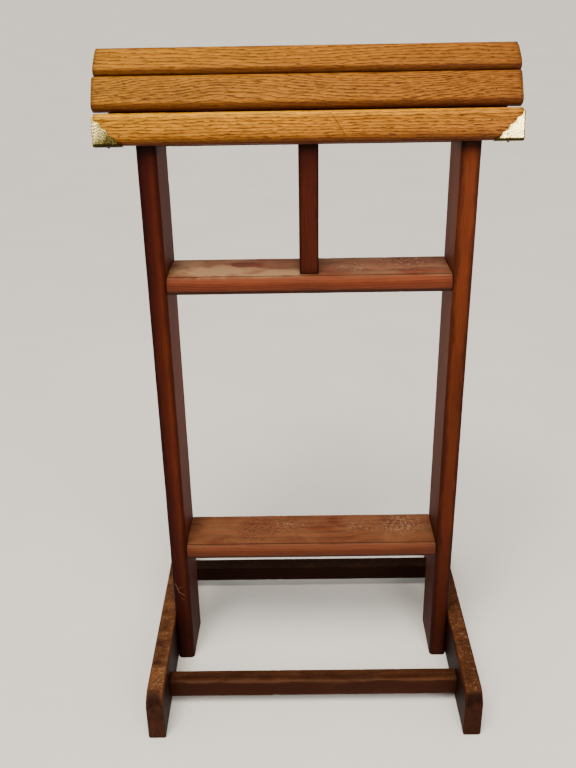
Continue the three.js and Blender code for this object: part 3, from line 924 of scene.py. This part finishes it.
@dataclass
class Slat(Board):
    """An oak slat. A top slat is mitred at the ridge, and one of its corners is chipped away."""

    mitre_y: float | None = None
    facing: float = -1.0
    chip: tuple[float, float] | None = None
    taper_mm: float = 0.0
    corner_mm: float = 2.0

    def bend(self, local: np.ndarray) -> np.ndarray:
        """Ease the ends and chip a corner.

        Each end draws in by a taper that grows with the square of the height on the slat, and by
        a quarter circle at both corners. At the chip the end draws back along a jagged line.
        """
        local = local.copy()
        middle = self.length / 2
        rise = np.clip(local[:, 1] / self.width + 0.5, 0, 1)
        corner = np.clip(np.abs(local[:, 1]) - (self.width / 2 - self.corner_mm), 0, self.corner_mm)
        round_off = self.corner_mm - np.sqrt(self.corner_mm ** 2 - corner ** 2)
        pull = self.taper_mm * rise ** 2 + round_off
        local[:, 0] = middle + (local[:, 0] - middle) * (1 - pull / middle)
        if self.chip is None:
            return local
        deep, tall = self.chip
        from_edge = self.width / 2 - local[:, 1]
        from_end = self.length - local[:, 0]
        jag = np.sin(from_edge * 1.9) + 0.7 * np.sin(from_edge * 3.7 + local[:, 2] * 0.8)
        line = deep * (1 - (from_edge / tall) ** 1.4) + jag
        local[:, 0] -= np.where(from_edge < tall, np.clip(line - from_end, 0, None), 0)
        return local

    def place(self, local: np.ndarray, direction_only: bool = False) -> np.ndarray:
        """Place the slat, and stop a mitred one at the ridge plane."""
        world = super().place(local, direction_only)
        if self.mitre_y is not None and not direction_only:
            side = self.facing
            world[:, 1] = side * np.maximum(side * world[:, 1], side * self.mitre_y)
        return world


# ---------------------------------------------------------------- metal pieces

# A turned profile is cut finely down to this height below the head's top, and coarsely beyond.
HEAD_DEPTH = 0.5
FINE_STEPS, COARSE_STEPS = 8, 2


@dataclass
class TurnedPiece:
    """A round piece: a radius and height profile turned about its axis, as one polar grid."""

    name: str
    node: str
    slot: str
    finish: Ironwork | StampedBrass
    at: Point
    direction: Point
    profile: tuple[tuple[float, float], ...]
    slot_width: float = 0.0
    slot_depth: float = 0.0
    slot_turn: float = 0.0
    slot_reach: float = 0.3
    sides: int = 40

    def build(self) -> Item:
        """Turn the profile; a slot sinks every head point nearer the middle line than its half-width.

        Returns:
            The finished piece: its head at the given place, its shank along the given direction.
        """
        profile = np.array(self.profile)
        rows = []
        for start, stop in zip(profile[:-1], profile[1:]):
            steps = FINE_STEPS if max(start[1], stop[1]) <= HEAD_DEPTH else COARSE_STEPS
            rows.append(start + np.arange(steps)[:, None] / steps * (stop - start))
        radius, height = np.concatenate(rows + [profile[-1:]]).T
        angle = np.linspace(0, 2 * math.pi, self.sides, endpoint=False)
        x = radius[:, None] * np.cos(angle)
        y = radius[:, None] * np.sin(angle)
        z = np.broadcast_to(height[:, None], x.shape)
        relief = np.ones_like(x)
        if self.slot_width > 0:
            beside = np.abs(x * math.sin(self.slot_turn) - y * math.cos(self.slot_turn))
            sunk = (beside < self.slot_width / 2) & (z < self.slot_reach)
            z = np.where(sunk, z + self.slot_depth, z)
            relief = np.where(sunk, 0.0, 1.0)
        points = np.stack([x, y, z], axis=-1).reshape(-1, 3)
        turn = Vector((0, 0, 1)).rotation_difference(Vector(self.direction)).to_matrix()
        world = points @ np.array(turn).T + np.array(self.at, dtype=float)
        faces = grid_faces(len(radius), self.sides, True)
        item = make_mesh(self.name, world, faces, {"relief": relief.reshape(-1)}, 30)
        self.finish.dress(item)
        return item


@dataclass
class CornerPlate:
    """A stamped brass corner: a scalloped triangle, a flange over the end and one underneath.

    The sheet is one grid. Its first direction follows the slat's rounded section, from high on
    the outer face, round the bottom edge and in under it; its second runs from the slat's end
    inwards, and on the outer face stops at the scalloped edge. The end flange is a second grid
    from the same section line in over the end grain. Lengths are millimetres; the pillow's two
    pairs are its centre and its reach, down the face and in from the end.
    """

    name: str
    node: str
    side: float
    slat: Slat
    finish: StampedBrass
    leg: float = 34.4
    flange: float = 16.0
    gap: float = 0.35
    bend: float = 2.6
    sheet: float = 0.8
    emboss: float = 0.13
    pillow_mm: float = 0.3
    age: float = 0.0
    scallops: int = 4
    scallop_mm: float = 2.3
    tip: float = 1.0
    bead_inset: float = 1.6
    bead_half: float = 0.7
    pillow_down: tuple[float, float] = (20.0, 20.0)
    pillow_in: tuple[float, float] = (9.0, 13.0)
    tarnish_from: float = 24.0
    tarnish_over: float = 22.0
    fold_half: float = 1.3
    fold_shade: float = 2.2
    end_fold: float = 0.6
    cap_relief: float = 0.6
    cap_tarnish: float = 0.35
    cap_reach: float = 11.0
    rows: int = 120
    columns: int = 84
    cap_columns: int = 26

    def section(self, lift: float) -> tuple[np.ndarray, np.ndarray, np.ndarray]:
        """The line down the slat's outer face, round a tight bend and in under its bottom edge.

        Args:
            lift: Distance from the wood in millimetres.

        Returns:
            Across and through positions, outward normals, and the distance below the leg's top.
        """
        half_w = self.slat.width / 2 - self.bend
        half_t = self.slat.thickness / 2
        straight = self.leg - self.bend
        arc = self.bend * math.pi / 2
        under = self.flange - self.bend
        run = np.linspace(0, straight + arc + under, self.rows)
        turn = np.clip((run - straight) / self.bend, 0, math.pi / 2)
        beyond = np.clip(run - straight - arc, 0, None)
        before = np.clip(straight - run, 0, None)
        across = -half_w - (self.bend + lift) * np.sin(turn) + before
        through = half_t - self.bend + (self.bend + lift) * np.cos(turn) - beyond
        normals = np.stack([-np.sin(turn), np.cos(turn)], axis=1)
        return np.stack([across, through], axis=1), normals, run

    def reach(self, run: np.ndarray) -> np.ndarray:
        """How far in from the end the sheet goes at each distance below the leg's top.

        The diagonal is walked from top to bottom; each scallop pushes it square to itself,
        towards the corner, by the arc of a half sine, which leaves a cusp between scallops.
        """
        walk = np.linspace(0, 1, 800)
        push = self.scallop_mm / math.sqrt(2) * np.abs(np.sin(walk * math.pi * self.scallops))
        down = (self.leg - self.tip) * walk + push
        inwards = 0.9 * self.tip + (self.leg - 0.9 * self.tip) * walk - push
        diagonal = np.interp(run, down, inwards)
        return np.where(run < self.leg - self.tip, np.maximum(diagonal, 0.7 * self.tip), self.leg)

    def relief(self, run: np.ndarray, inwards: np.ndarray, limit: np.ndarray) -> np.ndarray:
        """Embossing: a raised bead inside the scalloped edge and fine scrolls behind it."""
        to_edge = limit - inwards
        bead = np.exp(-((to_edge - self.bead_inset) / self.bead_half) ** 2)
        from_corner = np.hypot(self.leg - run, inwards)
        angle = np.arctan2(inwards, np.maximum(self.leg - run, 0.01))
        scroll = np.sin(from_corner * 1.9 + 1.6 * np.sin(angle * 9))
        scroll = scroll * np.sin(angle * 17 + 0.35 * from_corner)
        return np.clip(bead + (0.5 + 0.5 * scroll) * np.clip((to_edge - 2.4) / 1.5, 0, 1), 0, 1.2)

    def build(self) -> Item:
        """Make both grids, press the relief into the face, and give the sheet its thickness.

        Returns:
            The finished plate.
        """
        section, normals, run = self.section(self.gap)
        limit = self.reach(run)
        share = np.linspace(0, 1, self.columns)
        inwards = limit[:, None] * share[None]
        height = self.relief(run[:, None], inwards, limit[:, None])
        swell = np.ones_like(inwards)
        for distance, (centre, far) in ((run[:, None], self.pillow_down), (inwards, self.pillow_in)):
            swell = swell * np.clip(1 - ((distance - centre) / far) ** 2, 0, 1)
        lift = self.emboss * height + self.pillow_mm * swell
        face = section[:, None] + normals[:, None] * lift[..., None]
        end = self.slat.length / 2 + self.gap
        along = self.side * (end - inwards)
        sheet = np.concatenate([along[..., None], face], axis=2).reshape(-1, 3)

        target = np.stack([np.maximum(section[:, 0], self.cap_reach - self.slat.width / 2),
                           np.minimum(section[:, 1], self.slat.thickness / 2 - self.flange)], axis=1)
        share = np.linspace(0, 1, self.cap_columns)
        inner = section[:, None] + (target - section)[:, None] * share[None, :, None]
        cap_along = np.full(inner.shape[:2] + (1,), self.side * end)
        cap = np.concatenate([cap_along, inner], axis=2).reshape(-1, 3)

        local = np.concatenate([sheet, cap])
        local[:, 0] += self.slat.length / 2
        world = self.slat.place(local)
        faces = np.concatenate([grid_faces(self.rows, self.columns, False),
                                grid_faces(self.rows, self.cap_columns, False) + len(sheet)])
        # Painted shade along the folds: the bend under the bottom edge, and on right-hand corners the fold
        # over the end.
        fold = np.exp(-((run - self.leg + self.end_fold) / self.fold_half) ** 2)[:, None]
        fold = fold + (self.side > 0) * np.exp(-(inwards / self.end_fold) ** 2)
        spread = np.clip((inwards + run[:, None] - self.tarnish_from) / self.tarnish_over, 0, 1)
        spread = self.age * spread + self.fold_shade * np.clip(fold, 0, 1)
        marks = {"relief": np.concatenate([height.reshape(-1), np.full(len(cap), self.cap_relief)]),
                 "tarnish": np.concatenate([spread.reshape(-1), np.full(len(cap), self.cap_tarnish)])}
        item = make_mesh(self.name, world, faces, marks, 60, closed=False)
        self.turn_outwards(item)
        solid = item.modifiers.new("sheet thickness", "SOLIDIFY")
        solid.thickness = self.sheet * MM
        solid.offset = 1.0
        self.finish.dress(item)
        return item

    def turn_outwards(self, item: Item) -> None:
        """Make every face look away from the slat's middle line."""
        middle = Vector(self.slat.place(np.array([[self.slat.length / 2, 0.0, 0.0]]))[0] * MM)
        work = bmesh.new()
        work.from_mesh(item.data)
        bmesh.ops.recalc_face_normals(work, faces=work.faces)
        votes = sum(f.normal.dot(f.calc_center_median() - middle) * f.calc_area() for f in work.faces)
        if votes < 0:
            bmesh.ops.reverse_faces(work, faces=work.faces)
        work.to_mesh(item.data)
        work.free()


# ---------------------------------------------------------------- sub-assemblies

@dataclass
class Reporter:
    """Rides each new piece on the frame, hides the CAD part it replaces, and logs it."""

    body: str = "root"

    def keep(self, item: Item, node: str | None, slot: str) -> None:
        """Fasten a finished piece to the model.

        Args:
            item: The piece.
            node: CAD node that it stands for, if any.
            slot: Material slot of the record; not used.
        """
        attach(item, self.body)
        if node is not None:
            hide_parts(node)
        LOG.info("%-34s %6d faces", item.name, len(item.data.polygons))


@dataclass
class FrameBoards:
    """Uprights, shelves, divider, crosspiece and the ribs under the slats."""

    report: Reporter
    shelf_radius: float = 9.5
    board_radius: float = 6.0
    divider_radius: float = 3.6

    def build(self) -> None:
        """Make and keep every board of the frame."""
        # Painted shadow under the slats: the uprights and divider fall to near black just below the lower
        # slats.
        under_slat_shadow = Drift("Z", 0.788, 0.808, ((1.0, 1.0, 1.0), (0.85, 0.8, 0.8), (0.12, 0.1, 0.1)))
        plain = replace(DARK_PINE, ring_contrast=0.3, wear_amount=0.65, wear_reach=0.5, worn="230b05",
                        dust_amount=0.0, blotch_amount=0.3)
        across_left = Drift("X", -0.2143, -0.1889, (
            (0.42, 0.26, 0.42), (0.55, 0.34, 0.48), (0.75, 0.6, 0.65), (1.3, 1.2, 1.05),
            (1.45, 1.1, 0.9)))
        # Tones up the uprights' fronts: darker towards the floor as painted shade; the left one darkens
        # again near the slats, painted shadow, and the right one grows paler upwards.
        up_left = Drift("Z", 0.0, 0.9, (
            (0.34, 0.3, 0.34), (0.7, 0.7, 0.7), (1.0, 1.0, 0.95), (1.15, 1.15, 1.0), (0.8, 0.68, 0.75),
            (0.65, 0.45, 0.6)))
        up_right = Drift("Z", 0.0, 0.9, (
            (0.4, 0.36, 0.5), (0.82, 0.88, 0.9), (1.08, 1.25, 1.2), (1.8, 2.2, 2.3)))
        left = replace(plain, pale="5a2514", middle="4d1f10", dark="3b150a", scratches=LEFT_SCRATCHES,
                       drifts=(across_left, up_left, under_slat_shadow))
        right = replace(plain, title="red stained pine upright", pale="6c2e16", middle="5f2612",
                        dark="4e1d0e", drifts=(up_right, under_slat_shadow))
        divider = replace(plain, title="dark stained pine divider", pale="541e10", middle="481a0e",
                          dark="39120a", drifts=(under_slat_shadow,))
        upper = replace(RED_PINE, patches=UPPER_PATCHES, dust_amount=0.42, pale="753518", middle="652a13")
        lower = replace(RED_PINE, patches=LOWER_PATCHES, worn="66361b", pale="683318", middle="5b2a14",
                        dark="421b0c", dust="865b3a", dust_amount=0.6)
        crosspiece = replace(RED_PINE, dust_amount=0.1)
        dark, red = "dark_stained_pine", "red_stained_pine"
        upright = {"grain": Grain.ALONG_Z, "slot": dark, "radius": self.board_radius}
        rib = {"grain": Grain.ALONG_Z, "slot": dark, "radius": 1.5, "arch_depth": 19.4, "station_mm": 2.5}
        shelf = {"grain": Grain.ALONG_X, "slot": red, "radius": self.shelf_radius, "corner_steps": 17,
                 "creases_deg": (103.0, 210.0)}
        for board in (
                ArchedBoard.from_box("left_upright", left, seed=11, swell_mm=2.6, **upright),
                ArchedBoard.from_box("right_upright", right, seed=23, **upright),
                ArchedBoard.from_box("centre_divider", divider, Grain.ALONG_Z, red,
                                     self.divider_radius, 37),
                ArchedBoard.from_box("left_end_rib", DARK_PINE, seed=41, **rib),
                ArchedBoard.from_box("right_end_rib", DARK_PINE, seed=43, **rib),
                Board.from_box("upper_shelf", upper, seed=53, **shelf),
                Board.from_box("lower_shelf", lower, seed=67, **shelf),
                Board.from_box("top_crosspiece", crosspiece, Grain.ALONG_X, red, 2.0, 71)):
            self.report.keep(board.build(), board.node, board.slot)


@dataclass
class Feet:
    """Two runners and the two stretchers between them."""

    report: Reporter
    edge_radius: float = 4.0

    def build(self) -> None:
        """Make and keep the feet."""
        duller = replace(FOOT_PINE, dust="64391d", drifts=(
            Drift("X", 0.2, 0.25, ((0.72, 0.58, 0.42),) * 2),))
        trodden = replace(FOOT_PINE, dust="4c2c15", dust_amount=0.5, speckle_amount=0.12, pale="3f1d0c",
                          middle="33160a", wear_amount=0.5, wear_reach=0.4, worn="583a26")
        # The rear stretcher is a darker copy without dust: painted shade from the lower shelf above it.
        shaded = replace(trodden, dust_amount=0.0, speckle_amount=0.1, pale="240f06", middle="1c0b04",
                         wear_amount=0.1)
        for kind, node, finish, grain, seed in (
                (Runner, "left_runner", FOOT_PINE, Grain.ALONG_Y, 83),
                (Runner, "right_runner", duller, Grain.ALONG_Y, 89),
                (Stretcher, "front_stretcher", trodden, Grain.ALONG_X, 97),
                (Stretcher, "rear_stretcher", shaded, Grain.ALONG_X, 101)):
            board = kind.from_box(node, finish, grain, "dark_stained_pine", self.edge_radius, seed)
            self.report.keep(board.build(), node, board.slot)


@dataclass
class SlattedTop:
    """Six oak slats, their nails, and the brass corners with their pins."""

    report: Reporter
    arch: Arch = field(default_factory=Arch)
    ridge_gap: float = 0.2
    nail_radius: float = 0.9
    nail_x: float = 224.0
    pin_radius: float = 1.9
    pin_rise: float = 1.1
    pin_proud: float = 1.5
    pin_drop: float = 1.5
    pin_from_end: float = 16.75
    looks: tuple[dict, ...] = (
        {"pith_mm": (26.0, 12.0), "ring_mm": 3.6, "pore_level": 0.66, "sway": 0.024},
        {"pith_mm": (18.0, 22.0), "ring_mm": 3.0, "pore_level": 0.63, "sway": 0.042},
        {"pith_mm": (60.0, 48.0), "ring_mm": 3.6, "pore_level": 0.63, "sway": 0.014,
         "scratches": SLAT_CRACK, "drifts": GOLDEN_OAK.drifts + (LOWER_SLAT_PAINTED_HIGHLIGHT,)})

    def slats(self) -> dict[str, Slat]:
        """All six slats, by CAD node name."""
        arch = self.arch
        low, high = box_mm("left_upright")
        centre_y = (low[1] + high[1]) / 2
        left, right = box_mm("front_middle_slat")
        made = {}
        for facing, face in ((-1.0, "front"), (1.0, "rear")):
            for number, name in enumerate(("top_slat", "middle_slat", "lower_slat")):
                (y, z), slope = arch.upper_edges[number], math.radians(arch.slopes_deg[number])
                width, inner = arch.widths[number], arch.thickness / 2
                middle_y = -y + width / 2 * math.cos(slope) - inner * math.sin(slope)
                middle_z = z - width / 2 * math.sin(slope) - inner * math.cos(slope)
                node = f"{face}_{name}"
                length = right[0] - left[0] - arch.shortenings[number]
                made[node] = Slat(
                    node.replace("_", "-"), node, replace(GOLDEN_OAK, **self.looks[number]),
                    Grain.ALONG_X, "golden_oak", length, width, arch.thickness, arch.edge_radius,
                    (arch.shifts[number] - length / 2, centre_y + facing * middle_y, middle_z), (1, 0, 0),
                    (0, -facing * math.cos(slope), math.sin(slope)),
                    (0, facing * math.sin(slope), math.cos(slope)), seed=131 + 7 * len(made),
                    dent_mm=0.35, joint_mm=2.8, station_mm=4.0, facing=facing,
                    chip=(10.5, 9.5) if node == "front_top_slat" else None, taper_mm=arch.tapers[number],
                    mitre_y=centre_y + facing * self.ridge_gap if name == "top_slat" else None)
        return made

    def nails(self, slat: Slat) -> None:
        """Small nail heads over each rib, a little below the varnish, as one piece per slat."""
        places = {"top": (0.05,), "middle": (0.22, -0.12), "lower": (0.12, -0.2)}[slat.node.split("_")[1]]
        parts = []
        for side in (-1, 1):
            for number, share in enumerate(places):
                x = slat.length / 2 + side * (self.nail_x + (-3.5, 4.0)[number % 2])
                at = slat.place(np.array([[x, share * slat.width, slat.thickness / 2 + 0.12]]))[0]
                inwards = tuple(-np.array(slat.through, dtype=float))
                profile = ((0.0, 0.12), (self.nail_radius * 0.8, 0.0), (self.nail_radius, 0.2),
                           (0.6, 0.5), (0.6, 18.0), (0.0, 19.5))
                nail = TurnedPiece(f"{slat.name}-nail", "", "screw_steel", NAIL_IRON, tuple(at), inwards,
                                   profile, sides=16)
                parts.append(nail.build())
        joined = join(parts, f"{slat.name}-nails")
        self.report.keep(joined, None, "screw_steel")

    def build(self) -> None:
        """Make and keep the slats, nails, corners and pins."""
        slats = self.slats()
        for slat in slats.values():
            self.report.keep(slat.build(), slat.node, slat.slot)
            self.nails(slat)
        for face in ("front", "rear"):
            slat = slats[f"{face}_lower_slat"]
            for side, sign in (("left", -1.0), ("right", 1.0)):
                plate = CornerPlate(f"{face}-{side}-corner-plate", f"{face}_{side}_corner_plate", sign,
                                    slat, BRASS, age=1.0 if sign < 0 else 0.15)
                self.report.keep(plate.build(), plate.node, "corner_brass")
                half, proud = slat.length / 2, self.pin_proud
                self.pin(slat, f"{face}_{side}_end_pin", (sign * (half + proud), -self.pin_drop, 0.0),
                         (-sign, 0, 0))
                self.pin(slat, f"{face}_{side}_bottom_pin",
                         (sign * (half - self.pin_from_end), -slat.width / 2 - proud, 0.0), None)

    def pin(self, slat: Slat, node: str, spot: Point, direction: Point | None) -> None:
        """A round-headed brass pin, driven along the slat or up into its bottom edge.

        Args:
            slat: The slat it is driven into.
            node: CAD node that it replaces.
            spot: Where its head sits: along from the slat's middle, across, through.
            direction: Which way it points, or None for straight up the slat's width.
        """
        local = np.array([[spot[0] + slat.length / 2, spot[1], spot[2]]])
        at = slat.place(local)[0]
        way = direction or tuple(np.array(slat.across, dtype=float))
        dome = [(self.pin_radius * math.sin(turn), -self.pin_rise * math.cos(turn))
                for turn in np.linspace(0, math.pi / 2, 7)]
        piece = TurnedPiece(node.replace("_", "-"), node, "corner_brass", PIN_BRASS, tuple(at), way,
                            (*dome, (0.8, 0.0), (0.8, 11.0), (0.0, 12.0)), sides=24)
        self.report.keep(piece.build(), node, "corner_brass")


def join(parts: list[Item], name: str) -> Item:
    """Join pieces that share a finish into one object, keeping every shell closed."""
    work = bmesh.new()
    for part in parts:
        work.from_mesh(part.data)
    mesh = parts[0].data
    work.to_mesh(mesh)
    work.free()
    for part in parts[1:]:
        bpy.data.objects.remove(part)
    parts[0].name = name
    mesh.name = name
    return parts[0]


@dataclass
class Screws:
    """Every slotted wood screw, placed on its CAD node with its head just proud of the wood."""

    report: Reporter
    head_radius: float = 4.0
    shank_radius: float = 2.0
    proud: float = 0.25
    countersink: float = 0.3

    def build(self) -> None:
        """Make and keep one screw for each CAD screw."""
        screws = sorted(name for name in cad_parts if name.endswith("_screw"))
        for number, node in enumerate(screws):
            low, high = box_mm(node)
            middle = (low + high) / 2
            axis = int(np.argmax(high - low))
            length = (high - low)[axis]
            from_outside = middle[0] > 0 if axis == 0 else "top" in node
            direction = np.zeros(3)
            direction[axis] = -1.0 if from_outside else 1.0
            head = middle - direction * (length / 2 + self.proud + self.countersink)
            profile = ((0.0, 0.0), (self.head_radius - 0.3, 0.0), (self.head_radius, 0.25),
                       (self.head_radius, 0.5), (self.shank_radius, 2.8), (self.shank_radius, length - 5),
                       (0.0, length))
            piece = TurnedPiece(node.replace("_", "-"), node, "screw_steel", SCREW_STEEL, tuple(head),
                                tuple(direction), profile, slot_width=1.1, slot_depth=0.9,
                                slot_turn=0.6 + 1.3 * number, sides=48)
            self.report.keep(piece.build(), node, "screw_steel")


# ---------------------------------------------------------------- studio

@dataclass
class Studio:
    """Camera, plain pale floor and soft lights.

    Each softbox has a name, watts, a colour, the side of its square, its place and its aim.
    """

    position: Point = (-0.0198, -1.1988, 1.0330)
    pitch_deg: float = 25.45
    yaw_deg: float = 0.54
    roll_deg: float = -1.02
    lens_mm: float = 43.07
    sensor_mm: float = 36.0
    floor_size: float = 60.0
    floor_gap: float = 0.3
    bank_height_deg: float = 64.0
    bank_turn_deg: float = -14.0
    bank_spread_deg: float = 36.0
    softboxes: tuple[tuple[str, float, str, float, Point, Point], ...] = (
        ("top softbox", 15, "fff4e4", 0.9, (-0.25, -1.0, 2.05), (0.0, 0.0, 0.5)),
        ("right softbox", 14, "fffaf0", 0.55, (0.70, -1.93, 1.42), (0.25, -0.07, 0.84)),
        ("left softbox", 8, "fffaf0", 0.4, (-0.86, -1.75, 1.75), (-0.25, -0.07, 0.85)))

    def camera(self) -> None:
        """Look down at the stand: forward from yaw and pitch, then a small roll."""
        pitch, yaw, roll = (math.radians(a) for a in (self.pitch_deg, self.yaw_deg, self.roll_deg))
        level = math.cos(pitch)
        forward = Vector((-math.sin(yaw) * level, math.cos(yaw) * level, -math.sin(pitch)))
        right = Vector((math.cos(yaw), math.sin(yaw), 0.0))
        up = right.cross(forward)
        turned_right = right * math.cos(roll) + up * math.sin(roll)
        turned_up = up * math.cos(roll) - right * math.sin(roll)
        data = bpy.data.cameras.new("camera")
        data.sensor_fit = "VERTICAL"
        data.sensor_height = self.sensor_mm
        data.lens = self.lens_mm
        data.clip_end = 50
        camera = bpy.data.objects.new("camera", data)
        axes = Matrix((turned_right, turned_up, -forward)).transposed().to_4x4()
        camera.matrix_world = Matrix.Translation(self.position) @ axes
        bpy.context.scene.collection.objects.link(camera)
        bpy.context.scene.camera = camera

    def lamp(self, kind: str, name: str, energy: float, colour: str, at: Point, aim: Point,
             **settings) -> None:
        """A lamp at one place, turned to another.

        Args:
            kind: Blender's name of the kind of lamp.
            name: Name of the lamp.
            energy: Watts of a softbox, watts per square metre of a far bank.
            colour: Its colour, as sRGB hex digits.
            at: Where it stands, in metres.
            aim: Where it looks.
            **settings: Further settings of the lamp.
        """
        data = bpy.data.lights.new(name, kind)
        data.energy, data.color = energy, linear(colour)[:3]
        for key, value in settings.items():
            setattr(data, key, value)
        lamp = bpy.data.objects.new(name, data)
        lamp.location = at
        lamp.rotation_euler = (Vector(aim) - Vector(at)).to_track_quat("-Z", "Y").to_euler()
        bpy.context.scene.collection.objects.link(lamp)

    def floor(self) -> None:
        """A large pale floor with a barely visible mottle, just under the feet."""
        half = self.floor_size / 2 / MM
        corners = np.array([(x, y, -self.floor_gap) for x, y in (
            (-half, -half), (half, -half), (half, half), (-half, half))])
        item = make_mesh("floor", corners, np.array([[0, 1, 2, 3]]), {}, closed=False)
        material, add = new_material("pale plaster floor")
        mottle = FLOOR_MOTTLE.on(add, add(Node.PLACE))
        colour = add(Node.RAMP, mottle, stops=((0.3, "e9e5df"), (0.7, "efece7")))
        finish_material(item, material, colour, 0.75)

    def build(self) -> None:
        """Set up the whole studio."""
        self.camera()
        self.floor()
        height, turn = math.radians(self.bank_height_deg), math.radians(self.bank_turn_deg)
        bank = (math.sin(turn) * math.cos(height), -math.cos(turn) * math.cos(height), math.sin(height))
        self.lamp("SUN", "overhead bank", 2.9, "fff6ea", bank, (0.0, 0.0, 0.0),
                  angle=math.radians(self.bank_spread_deg))
        for name, watts, colour, size, at, aim in self.softboxes:
            self.lamp("AREA", name, watts, colour, at, aim, shape="SQUARE", size=size)
        world = bpy.data.worlds.new("studio")
        bpy.context.scene.world = world
        world.use_nodes = True
        background = world.node_tree.nodes["Background"]
        background.inputs["Color"].default_value = linear("f2efea")
        background.inputs["Strength"].default_value = 0.6


def main() -> None:
    """Build the stand, then the studio, and report."""
    logging.basicConfig(level=logging.INFO, format="%(message)s")
    report = Reporter()
    FrameBoards(report).build()
    Feet(report).build()
    SlattedTop(report).build()
    Screws(report).build()
    Studio().build()


if __name__ == "__main__":
    main()
